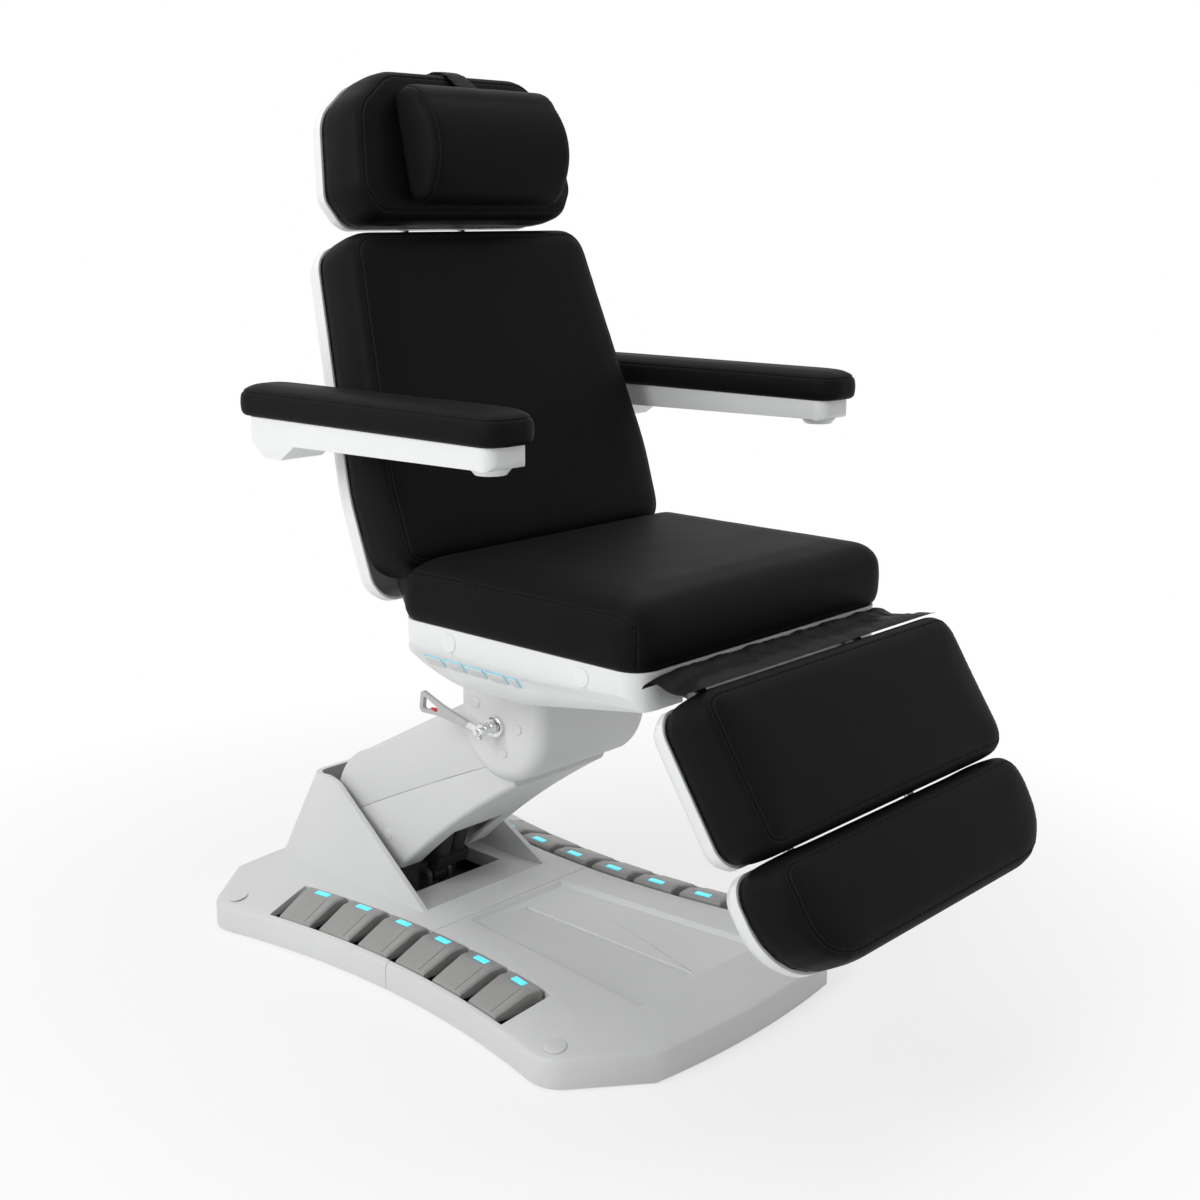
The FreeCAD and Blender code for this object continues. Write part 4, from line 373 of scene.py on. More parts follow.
# Swivel lock
# A plated socket in the near cheek takes a plated joint, and a flat pressed handle with a finger
# loop hangs from it. A red insert lines the inner end of the loop.
polished_chrome = new_material("polished_chrome", (0.78, 0.78, 0.79), 0.08, 1.0)
add_surface(polished_chrome, (0.8, 0.8, 0.81), (0.7, 0.7, 0.71), 0.05, 0.14, 60.0, 500.0, 0.0001)
moulded("lock_socket", 0.0008, "yoke", "chrome_joint", polished_chrome)
moulded("lever_knuckle", 0.0006, "lever", "chrome_joint", polished_chrome)
handle_plastic = new_material("handle_plastic", (0.5, 0.5, 0.5), 0.3)
add_surface(handle_plastic, (0.53, 0.53, 0.53), (0.46, 0.46, 0.46), 0.24, 0.36, 25.0, 1200.0, 0.0002)
moulded("lever_handle", 0.0014, "lever", "handle_grey", handle_plastic)
red_plastic = new_material("red_plastic", (0.6, 0.01, 0.02), 0.35)
add_surface(red_plastic, (0.66, 0.012, 0.022), (0.5, 0.008, 0.014), 0.28, 0.42, 60.0, 900.0, 0.0002)
lever_pivot = Vector((-0.168, -0.10403, 0.43797))
lever_rise = math.radians(9.0)
lever_along = Vector((0.0, math.cos(lever_rise), math.sin(lever_rise)))
insert_size, insert_reach = (0.0072, 0.016, 0.0062), 0.1065
insert_shift = Vector((0.0, 0.0015, -0.0018))
insert = rounded_block("lever_insert", insert_size, 0.0012, (lever_rise, 0.0, 0.0),
                       lever_pivot + lever_along * insert_reach + insert_shift, tip=0.35, tip_drop=0.0015)
fit_out(insert, "lever", "handle_grey", red_plastic)


# Seat frame and tray
# A steel plate with hinge ears turns on the yoke. A white moulded tray hangs round it, with five
# lit keys along its near bevel and round caps over its screws.
paint("seat_frame", powder_coat)
paint("seat_hinge_pins", ground_steel)
paint("tray_motors", dark_plastic)
white_plastic = new_material("white_plastic", (0.84, 0.85, 0.85), 0.3)
add_surface(white_plastic, (0.855, 0.865, 0.865), (0.815, 0.825, 0.825), 0.24, 0.36, 4.0, 1700.0, 0.00012)
moulded("seat_tray", 0.0014, "seat", "white_shell", white_plastic)
tray_half, tray_cap_height = 0.29, 0.6185
for side, side_name in both_sides:
    for along, end_name in ((-0.1716, "rear"), (-0.4405, "front")):
        screw_cap("tray_cap_%s_%s" % (end_name, side_name), 0.0145, 0.002,
                  (side * tray_half, along, tray_cap_height), (side, 0, 0),
                  "seat", "white_shell", white_plastic)
key_light = new_material("key_light", (0.2, 0.6, 0.72), 0.3)
add_surface(key_light, (0.24, 0.68, 0.8), (0.16, 0.52, 0.64), 0.24, 0.4, 90.0, 900.0, 0.0001)
key_shader = key_light.node_tree.nodes["Principled BSDF"]
key_shader.inputs["Emission Color"].default_value = (0.15, 0.7, 0.9, 1.0)
key_shader.inputs["Emission Strength"].default_value = 0.2
key_plastic = new_material("key_plastic", (0.62, 0.64, 0.65), 0.35)
add_surface(key_plastic, (0.72, 0.73, 0.73), (0.62, 0.63, 0.63), 0.3, 0.42, 300.0, 1400.0, 0.0002)
bevel_out = Vector((-0.7938, 0.0, -0.6082))
bevel_down = Vector((0.6082, 0.0, -0.7938))
bevel_top, keys_down = 0.607, 0.04
rim_depth, rim_margin, rim_corner = 0.0222, 0.0022, 0.005
rim_width, rim_thickness, rim_lift, rim_upper = 0.0011, 0.0012, 0.0001, -0.0085
for index in range(5):
    body = "seat_button_%d" % (index + 1)
    moulded(body, 0.0016, body, "handle_grey", key_plastic)
    low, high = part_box(body)
    length = high.y - low.y
    deselect()
    bpy.ops.mesh.primitive_plane_add(size=1.0)
    rim = bpy.context.object
    rim.name = "key_light_%d" % (index + 1)
    rim.scale = (rim_depth, length + rim_margin, 1.0)
    bpy.ops.object.transform_apply(location=False, rotation=False, scale=True)
    bpy.ops.object.mode_set(mode="EDIT")
    bpy.ops.mesh.select_all(action="SELECT")
    bpy.ops.mesh.bevel(offset=rim_corner, segments=4, affect="VERTICES")
    bpy.ops.mesh.inset(thickness=rim_width)
    bpy.ops.mesh.delete(type="FACE")
    bpy.ops.object.mode_set(mode="OBJECT")
    select_faces(rim, lambda face: face.center.x > rim_upper and face.center.y > -length / 2)
    bpy.ops.mesh.delete(type="FACE")
    bpy.ops.mesh.select_all(action="SELECT")
    bpy.ops.mesh.extrude_region_move(TRANSFORM_OT_translate={"value": (0, 0, rim_thickness)})
    bpy.ops.object.mode_set(mode="OBJECT")
    centre = Vector((-tray_half, (low.y + high.y) / 2, bevel_top))
    centre += bevel_down * keys_down + bevel_out * rim_lift
    rim.matrix_world = Matrix((
        (bevel_down.x, 0, bevel_out.x, centre.x), (0, 1, 0, centre.y),
        (bevel_down.z, 0, bevel_out.z, centre.z), (0, 0, 0, 1)))
    bpy.ops.object.transform_apply(location=True, rotation=True, scale=True)
    face_outward(rim)
    fit_out(rim, "seat", "handle_grey", key_light)


# Seat cushion
# Black coated upholstery over foam on a flat board. One panel runs over the top and down the
# front; each side is a band of its own, sewn in with a double-stitched seam.
black_leather = new_material("black_leather", (0.006, 0.006, 0.0063), 0.52)
leather_shader = black_leather.node_tree.nodes["Principled BSDF"]
leather_shader.inputs["Specular IOR Level"].default_value = 0.05
leather_place = add_clouds(black_leather, (0.0074, 0.0074, 0.0078), (0.0054, 0.0054, 0.0057),
                           0.46, 0.58, 11.0, detail=5.0, light_from=0.75)
leather_cells = add_node(black_leather, "ShaderNodeTexVoronoi", Scale=620.0)
leather_cells.feature = "DISTANCE_TO_EDGE"
wire(black_leather, leather_place, "Object", leather_cells, "Vector")
leather_cell_range = add_node(black_leather, "ShaderNodeMapRange")
leather_cell_range.inputs["From Max"].default_value = 0.25
wire(black_leather, leather_cells, "Distance", leather_cell_range, "Value")
leather_grain = add_node(black_leather, "ShaderNodeBump", Strength=0.22, Distance=0.0003)
wire(black_leather, leather_cell_range, "Result", leather_grain, "Height")
leather_creases = add_node(black_leather, "ShaderNodeTexNoise", Scale=26.0, Detail=3.0, Distortion=0.8)
wire(black_leather, leather_place, "Object", leather_creases, "Vector")
leather_bump = add_node(black_leather, "ShaderNodeBump", Strength=0.06, Distance=0.004)
wire(black_leather, leather_creases, "Fac", leather_bump, "Height")
wire(black_leather, leather_grain, "Normal", leather_bump, "Normal")
wire(black_leather, leather_bump, "Normal", leather_shader, "Normal")


def pad_frame(lean_deg, y, z):
    """Frame of a pad: X across, Y up its slope, Z out of its front, from its seam plane."""
    return Matrix.Translation((0.0, y, z)) @ Matrix.Rotation(math.radians(90.0 - lean_deg), 4, "X")


def swell(piece, cap, pressure):
    """Blows the cover up like filled cloth and keeps the outward part, capped and spread evenly."""
    last_frame, spread_rounds = 20, 30
    count = len(piece.data.vertices)
    start = numpy.array([vertex.co for vertex in piece.data.vertices])
    outward = numpy.array([vertex.normal for vertex in piece.data.vertices])
    filling = piece.modifiers.new("filling", "CLOTH")
    filling.settings.use_pressure = True
    filling.settings.uniform_pressure_force = pressure
    filling.settings.effector_weights.gravity = 0.0
    filling.settings.quality = 4
    filling.collision_settings.use_collision = False
    filling.point_cache.frame_start = 1
    filling.point_cache.frame_end = last_frame
    for step in range(1, last_frame + 1):
        bpy.context.scene.frame_set(step)
    apply_modifiers(piece)
    bpy.context.scene.frame_set(1)
    blown = numpy.array([vertex.co for vertex in piece.data.vertices]) - start
    rise = numpy.clip((blown * outward).sum(axis=1), 0.0, cap)
    ends = numpy.array([edge.vertices for edge in piece.data.edges])
    shared = numpy.bincount(ends.ravel(), minlength=count)
    for _ in range(spread_rounds):
        total = numpy.bincount(ends[:, 0], rise[ends[:, 1]], count)
        total += numpy.bincount(ends[:, 1], rise[ends[:, 0]], count)
        rise = 0.5 * rise + 0.5 * total / shared
    piece.data.vertices.foreach_set("co", (start + outward * rise[:, None]).ravel())


def stuffed(node, name, place, board, voxel=0.006, cap=0.004, pressure=4.0, leave=None):
    """Upholstered pad: the CAD form remeshed, swollen like filled cloth and kept flat on its board.

    The board's depth is counted from the seam plane. Lumps with a face that leave picks are removed."""
    near_board, board_gap = 0.0012, 0.0003
    piece = copy_of(node, name)
    inverse = place.inverted()
    if leave:
        select_faces(piece, lambda face: leave(inverse @ face.center))
        bpy.ops.mesh.select_linked()
        bpy.ops.mesh.delete(type="FACE")
        bpy.ops.object.mode_set(mode="OBJECT")
    remesh = piece.modifiers.new("even_mesh", "REMESH")
    remesh.mode = "VOXEL"
    remesh.voxel_size = voxel
    rounded = piece.modifiers.new("rounded", "SMOOTH")
    rounded.factor = 0.5
    rounded.iterations = 5
    apply_modifiers(piece)
    swell(piece, cap, pressure)
    for vertex in piece.data.vertices:
        local = inverse @ vertex.co
        if local.z < -board + near_board:
            local.z = -board + board_gap
            vertex.co = place @ local
    finer = piece.modifiers.new("finer_mesh", "SUBSURF")
    finer.levels = 1
    finer.render_levels = 1
    apply_modifiers(piece)
    bpy.ops.object.shade_smooth()
    return piece


def ring(corners, radii, inset, spacing=0.002):
    """Rounded outline moved inwards, as close points; the count doesn't depend on the inset."""
    smallest = 0.004
    count = len(corners)
    runs = []
    for index in range(count):
        start = Vector(corners[index])
        run = Vector(corners[(index + 1) % count]) - start
        ahead = run.normalized()
        runs.append((start + Vector((-ahead.y, ahead.x)) * inset, ahead, run.length))
    turns = []
    for index in range(count):
        before, along, _ = runs[index - 1]
        after, ahead, _ = runs[index]
        gap = after - before
        cross = along.x * ahead.y - along.y * ahead.x
        corner = before + along * ((gap.x * ahead.y - gap.y * ahead.x) / cross)
        cut = max(radii[index] - inset, smallest) * math.tan(0.5 * along.angle(ahead))
        turns.append((corner - along * cut, corner, corner + ahead * cut))
    path = []
    for index in range(count):
        first, corner, last = turns[index]
        steps = max(4, int(1.5 * radii[index] * runs[index - 1][1].angle(runs[index][1]) / spacing))
        for step in range(steps):
            share = step / steps
            path.append(first * (1 - share) ** 2 + corner * 2 * share * (1 - share) + last * share ** 2)
        following = turns[(index + 1) % count][0]
        steps = max(1, int(runs[index][2] / spacing))
        path += [last.lerp(following, step / steps) for step in range(steps)]
    return path


def front_line(place, path):
    """Sight lines that lay a path on the front of a pad."""
    stand_off = 0.25
    aim = place.to_3x3() @ Vector((0, 0, -1))
    return [(place @ Vector((spot.x, spot.y, stand_off)), aim) for spot in path]


def laid(piece, sights):
    """Points of a line on the cover, with the cover's normals there."""
    bpy.context.view_layer.update()
    line = []
    for start, aim in sights:
        hit, spot, normal, _ = piece.ray_cast(start, aim)
        if hit:
            line.append((spot, normal))
    return line


def sew(piece, line, depth=0.0017, width=0.0022):
    """Draws the cover in along a line, a little unevenly, as thread does."""
    refined, reach = 0.006, 0.009
    near = KDTree(len(line))
    for index, (spot, _) in enumerate(line):
        near.insert(spot, index)
    near.balance()
    select_faces(piece, lambda face: near.find(face.center)[2] < refined)
    bpy.ops.mesh.subdivide(number_cuts=1, smoothness=0.0)
    bpy.ops.object.mode_set(mode="OBJECT")
    normals = [vertex.normal.copy() for vertex in piece.data.vertices]
    for vertex, normal in zip(piece.data.vertices, normals):
        _, index, distance = near.find(vertex.co)
        if distance < reach:
            uneven = 1.0 + 0.35 * math.sin(0.9 * index) * math.sin(0.23 * index)
            vertex.co -= normal * depth * uneven * math.exp(-(distance / width) ** 2)


def stitches(name, piece, line, body, aside=(-0.0028, 0.0028), pitch=3):
    """Rows of raised thread stitches at the given distances from a seam."""
    half_length, half_width, half_height = 0.0021, 0.0006, 0.0005
    thread_lift, longest_step = 0.0001, 0.02
    deselect()
    bpy.ops.mesh.primitive_uv_sphere_add(segments=6, ring_count=4, radius=1.0)
    one = bpy.context.object
    shape = [(vertex.co.z * half_length, vertex.co.y * half_width, vertex.co.x * half_height)
             for vertex in one.data.vertices]
    faces = [tuple(face.vertices) for face in one.data.polygons]
    bpy.ops.object.delete()
    bpy.context.view_layer.update()
    points, polygons = [], []
    for index in range(1, len(line) - 1, pitch):
        forward = line[index + 1][0] - line[index - 1][0]
        if forward.length > longest_step:
            continue
        across = line[index][1].cross(forward.normalized()).normalized()
        for offset in aside:
            _, spot, normal, _ = piece.closest_point_on_mesh(line[index][0] + across * offset)
            run = (forward - normal * forward.dot(normal)).normalized()
            side = normal.cross(run)
            first = len(points)
            for x, y, z in shape:
                points.append(spot + run * x + side * y + normal * (z + thread_lift))
            polygons += [tuple(first + corner for corner in face) for face in faces]
    mesh = bpy.data.meshes.new(name)
    mesh.from_pydata(points, [], polygons)
    thread = bpy.data.objects.new(name, mesh)
    bpy.context.scene.collection.objects.link(thread)
    face_outward(thread)
    bpy.ops.object.shade_smooth()
    return fit_out(thread, body, "black_leather", black_thread)


black_thread = new_material("black_thread", (0.014, 0.014, 0.015), 0.6)
add_surface(black_thread, (0.013, 0.013, 0.0135), (0.009, 0.009, 0.0095), 0.5, 0.7, 400.0, 2500.0, 0.0002)
black_thread.node_tree.nodes["Principled BSDF"].inputs["Specular IOR Level"].default_value = 0.15
seat_place = pad_frame(90.0, 0.0, 0.713)
seat_front, seat_back, seat_half, seat_corner = -0.552, -0.085, 0.3, 0.042
seat_seam_height, seat_seam_end = 0.7165, 0.645
seat_side_steps, seat_corner_steps = 209, 49
seat_aside, sight_away = 0.45, 0.2
seat_pad = stuffed("seat_cushion", "seat_pad", seat_place, board=0.073)
for side, side_name in both_sides:
    sights = []
    for step in range(seat_side_steps + 1):
        along = seat_back + (seat_front + seat_corner - seat_back) * step / seat_side_steps
        sights.append((Vector((side * seat_aside, along, seat_seam_height)), Vector((-side, 0, 0))))
    for step in range(1, seat_corner_steps + 1):
        turned = math.radians(min(45.0, 2.6 * step))
        height = max(seat_seam_height - 0.0004 * step - 0.000022 * step * step, seat_seam_end)
        outer = Vector((side * math.cos(turned), -math.sin(turned), 0.0))
        middle = Vector((side * (seat_half - seat_corner), seat_front + seat_corner, height))
        sights.append((middle + outer * sight_away, -outer))
    seam = laid(seat_pad, sights)
    sew(seat_pad, seam)
    stitches("seat_stitch_" + side_name, seat_pad, seam, "seat")
fit_out(seat_pad, "seat", "black_leather", black_leather, "seat_cushion")


# Backrest
# A white moulded pan closes the back of a steel frame, and a thick pad is clipped to its front.
# The pad's front panel is sewn to its side band with a double-stitched seam.
paint("back_frame", powder_coat)
moulded("back_shell", 0.0016, "backrest", "white_shell", white_plastic)
back_place = pad_frame(18.0, -0.085, 0.7)
back_outline = [(-0.298, 0.006), (0.298, 0.006), (0.303, 0.15), (0.256, 0.54),
                (-0.256, 0.54), (-0.303, 0.15)]
back_radii = [0.048, 0.048, 0.4, 0.048, 0.048, 0.4]
back_pad = stuffed("back_cushion", "back_pad", back_place, board=0.082)
back_seam = laid(back_pad, front_line(back_place, ring(back_outline, back_radii, inset=0.016)))
sew(back_pad, back_seam)
stitches("back_stitch", back_pad, back_seam, "backrest")
fit_out(back_pad, "backrest", "black_leather", black_leather, "back_cushion")


# Headrest
# A smaller pad on its own white pan, on two cranked steel posts that slide in the backrest.
# Its front panel is sewn in like the back's.
paint("headrest_posts", ground_steel)
moulded("headrest_shell", 0.0016, "headrest", "white_shell", white_plastic)
head_place = pad_frame(12.0, 0.085, 1.3)
head_outline = [(-0.205, -0.076), (0.205, -0.076), (0.236, -0.028), (0.218, 0.104), (0.15, 0.158),
                (-0.15, 0.158), (-0.218, 0.104), (-0.236, -0.028)]
head_radii = [0.04, 0.04, 0.034, 0.07, 0.07, 0.07, 0.07, 0.034]
head_pad = stuffed("headrest_cushion", "headrest_pad", head_place, board=0.082, voxel=0.005)
head_seam = laid(head_pad, front_line(head_place, ring(head_outline, head_radii, inset=0.014)))
sew(head_pad, head_seam)
stitches("headrest_stitch", head_pad, head_seam, "headrest")
fit_out(head_pad, "headrest", "black_leather", black_leather, "headrest_cushion")


# Neck pillow and strap
# A half-round pillow with flat ends lies against the headrest. A wide strap of the same black
# stuff is sewn to it, goes over the headrest's top and holds on its back.
def on_strap(local):
    """The CAD strap reaches behind the headrest's seam plane; the pillow doesn't."""
    return local.z < 0.0


pillow_end, pillow_up, pillow_out = 0.1415, 0.03, 0.036
pillow_turn, pillow_steps = 104.0, 130
neck_pillow = stuffed("neck_pillow", "neck_pillow_pad", head_place, board=-0.0146, voxel=0.0045,
                      cap=0.003, leave=on_strap)
for side, side_name in both_sides:
    sights = []
    for step in range(pillow_steps + 1):
        turned = math.radians(-pillow_turn + 2.0 * pillow_turn * step / pillow_steps)
        outer = head_place.to_3x3() @ Vector((0.0, math.sin(turned), math.cos(turned)))
        middle = head_place @ Vector((side * pillow_end, pillow_up, pillow_out))
        sights.append((middle + outer * sight_away, -outer))
    seam = laid(neck_pillow, sights)
    sew(neck_pillow, seam, depth=0.0014, width=0.002)
    stitches("pillow_stitch_" + side_name, neck_pillow, seam, "headrest", aside=(side * 0.0026,))
fit_out(neck_pillow, "headrest", "black_leather", black_leather, "neck_pillow")
strap_width, strap_thickness = 0.042, 0.0022
strap_route = [(0.1135, 0.040), (0.124, 0.034), (0.139, 0.020), (0.154, 0.004), (0.1632, -0.018),
               (0.1648, -0.045), (0.1642, -0.075), (0.1625, -0.1), (0.153, -0.1145), (0.13, -0.1155),
               (0.1, -0.1152), (0.072, -0.115)]
strap_steps = len(strap_route) - 1
deselect()
bpy.ops.mesh.primitive_grid_add(x_subdivisions=14, y_subdivisions=88, size=1.0)
strap = bpy.context.object
strap.name = "pillow_strap"
for vertex in strap.data.vertices:
    along = (vertex.co.y + 0.5) * strap_steps
    start = min(int(along), strap_steps - 1)
    share = along - start
    knots = [Vector(strap_route[min(max(start + shift, 0), strap_steps)]) for shift in (-1, 0, 1, 2)]
    bend_in = (knots[2] - knots[0]) * 0.5
    bend_out = (knots[3] - knots[1]) * 0.5
    square, cube = share ** 2, share ** 3
    spot = (knots[1] * (2 * cube - 3 * square + 1) + bend_in * (cube - 2 * square + share)
            + knots[2] * (3 * square - 2 * cube) + bend_out * (cube - square))
    edge = 2.0 * abs(vertex.co.x)
    lift = 0.0006 * math.cos(9.0 * along) * edge ** 2 + 0.0012 * (1.0 - edge ** 4)
    away = Vector((spot.x - 0.08, spot.y + 0.04)).normalized()
    spot += away * lift
    vertex.co = head_place @ Vector((vertex.co.x * strap_width, spot.x, spot.y))
thick = strap.modifiers.new("two_layers", "SOLIDIFY")
thick.thickness = strap_thickness
thick.offset = 0.0
softer = strap.modifiers.new("soft_edges", "SUBSURF")
softer.levels = 1
softer.render_levels = 1
apply_modifiers(strap)
face_outward(strap)
bpy.ops.object.shade_smooth()
fit_out(strap, "headrest", "black_leather", black_leather)


# Armrests
# A long upholstered pad screwed to a white moulded bracket, which turns on the backrest's cross
# tube. The pad's top panel is sewn to its side band all round.
arm_front, arm_back, arm_low, arm_height = -0.4108, 0.1632, 0.9407, 0.042
arm_near, arm_far, arm_seam = 0.325, 0.42, 0.036
arm_radii = [0.034] * 4
arm_place = Matrix.Translation((0.0, 0.0, arm_low + arm_height))
for side_name, side in (("left", 1), ("right", -1)):
    body = "arm_" + side_name
    moulded(body + "_bracket", 0.0016, body, "white_shell", white_plastic)
    arm_pad = stuffed(body + "_pad", body + "_cushion", arm_place, board=arm_height, voxel=0.005, cap=0.0025)
    inner, outer = sorted((side * arm_near, side * arm_far))
    arm_outline = [(inner, arm_front), (outer, arm_front), (outer, arm_back), (inner, arm_back)]
    sights = []
    outside, inside = ring(arm_outline, arm_radii, inset=-0.05), ring(arm_outline, arm_radii, inset=0.02)
    for far, close in zip(outside, inside):
        start = Vector((far.x, far.y, arm_low + arm_seam))
        sights.append((start, (Vector((close.x, close.y, start.z)) - start).normalized()))
    seam = laid(arm_pad, sights)
    sew(arm_pad, seam, depth=0.0014, width=0.002)
    stitches(body + "_stitch", arm_pad, seam, body, aside=(0.0026,))
    fit_out(arm_pad, body, "black_leather", black_leather, body + "_pad")


# Leg rest
# A pad of the same black stuff on a white moulded pan, sewn like the back's. Pan and pad sit on
# a steel frame that hangs from the front of the seat frame.
paint("leg_frame", powder_coat)
moulded("calf_shell", 0.0016, "legrest", "white_shell", white_plastic)
leg_place = pad_frame(33.0, -0.74, 0.5)
calf_outline = [(-0.303, -0.062), (0.303, -0.062), (0.303, 0.17), (-0.303, 0.17)]
calf_radii = [0.04] * 4
calf_pad = stuffed("calf_cushion", "calf_pad", leg_place, board=0.08)
calf_seam = laid(calf_pad, front_line(leg_place, ring(calf_outline, calf_radii, inset=0.015)))
sew(calf_pad, calf_seam)
stitches("calf_stitch", calf_pad, calf_seam, "legrest")
fit_out(calf_pad, "legrest", "black_leather", black_leather, "calf_cushion")


# Leg gaiter
# A loose sheet of thin black coated cloth, gathered between the tray's front wall and the top of
# the calf pad.
gaiter_cloth = new_material("gaiter_cloth", (0.006, 0.006, 0.0065), 0.6)
add_surface(gaiter_cloth, (0.0075, 0.0075, 0.008), (0.005, 0.005, 0.0053), 0.5, 0.66, 30.0, 1600.0, 0.0003)
gaiter_cloth.node_tree.nodes["Principled BSDF"].inputs["Specular IOR Level"].default_value = 0.14
gaiter_route = [(-0.5489, 0.6225), (-0.5505, 0.6335), (-0.5575, 0.6405), (-0.572, 0.6425), (-0.590, 0.6400),
                (-0.608, 0.6425), (-0.624, 0.6455), (-0.637, 0.6430), (-0.6435, 0.6405)]
gaiter_width, gaiter_thickness = 0.576, 0.001
gaiter_plain = 0.38
gaiter_steps = len(gaiter_route) - 1
deselect()
bpy.ops.mesh.primitive_grid_add(x_subdivisions=180, y_subdivisions=30, size=1.0)
gaiter = bpy.context.object
gaiter.name = "leg_gaiter_cloth"
for vertex in gaiter.data.vertices:
    down = vertex.co.y + 0.5
    across = vertex.co.x
    start = min(int(down * gaiter_steps), gaiter_steps - 1)
    share = down * gaiter_steps - start
    spot = Vector(gaiter_route[start]).lerp(Vector(gaiter_route[start + 1]), share)
    slack = math.sin(math.pi * down)
    end = max(0.0, abs(across) - gaiter_plain) / (0.5 - gaiter_plain)
    crease = noise.noise(Vector((across * 26.0, down * 2.2, 0.4)))
    fine = noise.noise(Vector((across * 60.0 + down * 7.0, down * 5.0, 3.1)))
    rise = slack * (0.0045 * crease + 0.0018 * fine + 0.004 * end * math.sin(40.0 * across + 9.0 * down))
    rise -= 0.016 * slack * end ** 2
    drift = 0.003 * slack * noise.noise(Vector((across * 18.0, down * 3.0, 7.7)))
    vertex.co = (across * (gaiter_width - 0.012 * end * slack), spot.x + drift, spot.y + rise)
layer = gaiter.modifiers.new("cloth_thickness", "SOLIDIFY")
layer.thickness = gaiter_thickness
layer.offset = 0.0
smoother = gaiter.modifiers.new("smooth_folds", "SUBSURF")
smoother.levels = 1
smoother.render_levels = 1
apply_modifiers(gaiter)
face_outward(gaiter)
bpy.ops.object.shade_smooth()
gaiter.data.materials.append(gaiter_cloth)
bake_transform(gaiter)
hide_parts("leg_gaiter")


# Foot rest
# A short pad with rounded lower corners on its own pan, carried on two steel rails that slide
# in the leg rest.
paint("foot_rails", ground_steel)
moulded("foot_shell", 0.0016, "footrest", "white_shell", white_plastic)
foot_outline = [(-0.303, -0.226), (0.303, -0.226), (0.303, -0.064), (-0.303, -0.064)]
foot_radii = [0.098, 0.098, 0.04, 0.04]
foot_pad = stuffed("foot_cushion", "foot_pad", leg_place, board=0.08)
foot_seam = laid(foot_pad, front_line(leg_place, ring(foot_outline, foot_radii, inset=0.015)))
sew(foot_pad, foot_seam)
stitches("foot_stitch", foot_pad, foot_seam, "footrest")
fit_out(foot_pad, "footrest", "black_leather", black_leather, "foot_cushion")


# Studio
# A white floor that keeps the chair's soft shadow and fades into an even white surround, with
# three large soft lamps. The camera stands where the picture was taken from.
deselect()
bpy.ops.mesh.primitive_plane_add(size=60.0, location=(0, 0, 0))
floor = bpy.context.object
floor.name = "studio_floor"
floor_paint = new_material("studio_paint", (0.92, 0.92, 0.92), 0.9)
floor_shader = floor_paint.node_tree.nodes["Principled BSDF"]
floor_output = floor_paint.node_tree.nodes["Material Output"]
floor_rays = add_node(floor_paint, "ShaderNodeLightPath")
floor_white = add_node(floor_paint, "ShaderNodeEmission", Strength=1.0)
floor_seen = add_node(floor_paint, "ShaderNodeMath", operation="MAXIMUM")
floor_mirrored = add_node(floor_paint, "ShaderNodeMath", operation="MAXIMUM")
floor_place = add_node(floor_paint, "ShaderNodeTexCoord")
floor_far = add_node(floor_paint, "ShaderNodeVectorMath", operation="LENGTH")
floor_fade = add_range(floor_paint, 0.64, 1.0)
floor_fade.inputs["From Min"].default_value = 0.7
floor_fade.inputs["From Max"].default_value = 1.5
floor_cover = add_node(floor_paint, "ShaderNodeMath", operation="MULTIPLY")
floor_mix = add_node(floor_paint, "ShaderNodeMixShader")
wire(floor_paint, floor_rays, "Is Glossy Ray", floor_mirrored, 0)
wire(floor_paint, floor_rays, "Is Transmission Ray", floor_mirrored, 1)
wire(floor_paint, floor_rays, "Is Camera Ray", floor_seen, 0)
wire(floor_paint, floor_mirrored, "Value", floor_seen, 1)
wire(floor_paint, floor_place, "Object", floor_far, 0)
wire(floor_paint, floor_far, "Value", floor_fade, "Value")
wire(floor_paint, floor_fade, "Result", floor_cover, 0)
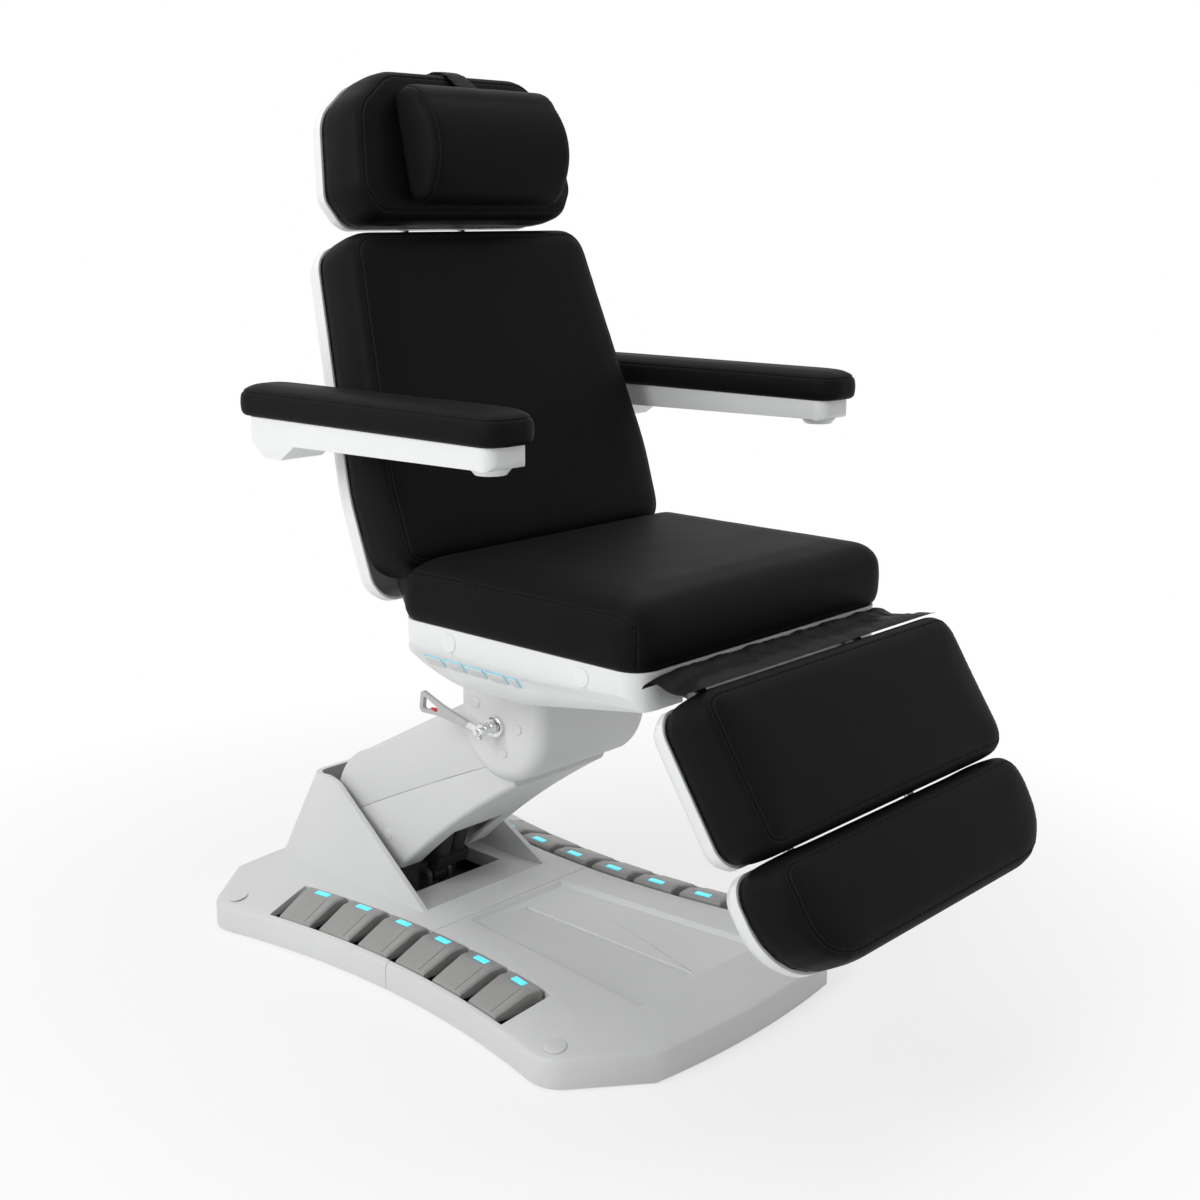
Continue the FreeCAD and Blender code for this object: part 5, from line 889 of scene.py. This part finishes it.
wire(floor_paint, floor_seen, "Value", floor_cover, 1)
wire(floor_paint, floor_cover, "Value", floor_mix, "Fac")
wire(floor_paint, floor_shader, "BSDF", floor_mix, 1)
wire(floor_paint, floor_white, "Emission", floor_mix, 2)
wire(floor_paint, floor_mix, "Shader", floor_output, "Surface")
floor.data.materials.append(floor_paint)
world = bpy.data.worlds.new("studio_surround")
bpy.context.scene.world = world
world.use_nodes = True
surround = world.node_tree.nodes["Background"]
surround.inputs["Color"].default_value = (1.0, 1.0, 1.0, 1.0)
surround_rays = add_node(world, "ShaderNodeLightPath")
surround_mirrored = add_node(world, "ShaderNodeMath", operation="MAXIMUM")
surround_seen = add_node(world, "ShaderNodeMath", operation="MAXIMUM")
surround_strength = add_range(world, 0.36, 1.0)
wire(world, surround_rays, "Is Glossy Ray", surround_mirrored, 0)
wire(world, surround_rays, "Is Transmission Ray", surround_mirrored, 1)
wire(world, surround_rays, "Is Camera Ray", surround_seen, 0)
wire(world, surround_mirrored, "Value", surround_seen, 1)
wire(world, surround_seen, "Value", surround_strength, "Value")
wire(world, surround_strength, "Result", surround, "Strength")
lamp_target = Vector((0.0, -0.15, 0.6))
lamps = (("key_lamp", (-3.6, 0.3, 2.7), 2.4, 88.0), ("fill_lamp", (1.6, -3.6, 2.6), 2.4, 8.0),
         ("top_lamp", (0.2, 0.4, 4.2), 3.0, 44.0))
for name, spot, size, power in lamps:
    bpy.ops.object.light_add(type="AREA", location=spot)
    lamp = bpy.context.object
    lamp.name = name
    lamp.data.size = size
    lamp.data.energy = power
    lamp.rotation_euler = (lamp_target - Vector(spot)).to_track_quat("-Z", "Y").to_euler()
camera_tilt, camera_turn = math.radians(90.0 - 13.361), math.radians(-47.2134)
bpy.ops.object.camera_add(location=(-1.84685, -1.91694, 1.23699), rotation=(camera_tilt, 0.0, camera_turn))
camera = bpy.context.object
camera.data.lens = 48.853
camera.data.sensor_width = 36.0
bpy.context.scene.camera = camera
bpy.context.scene.view_settings.view_transform = "Standard"

bpy.context.view_layer.update()
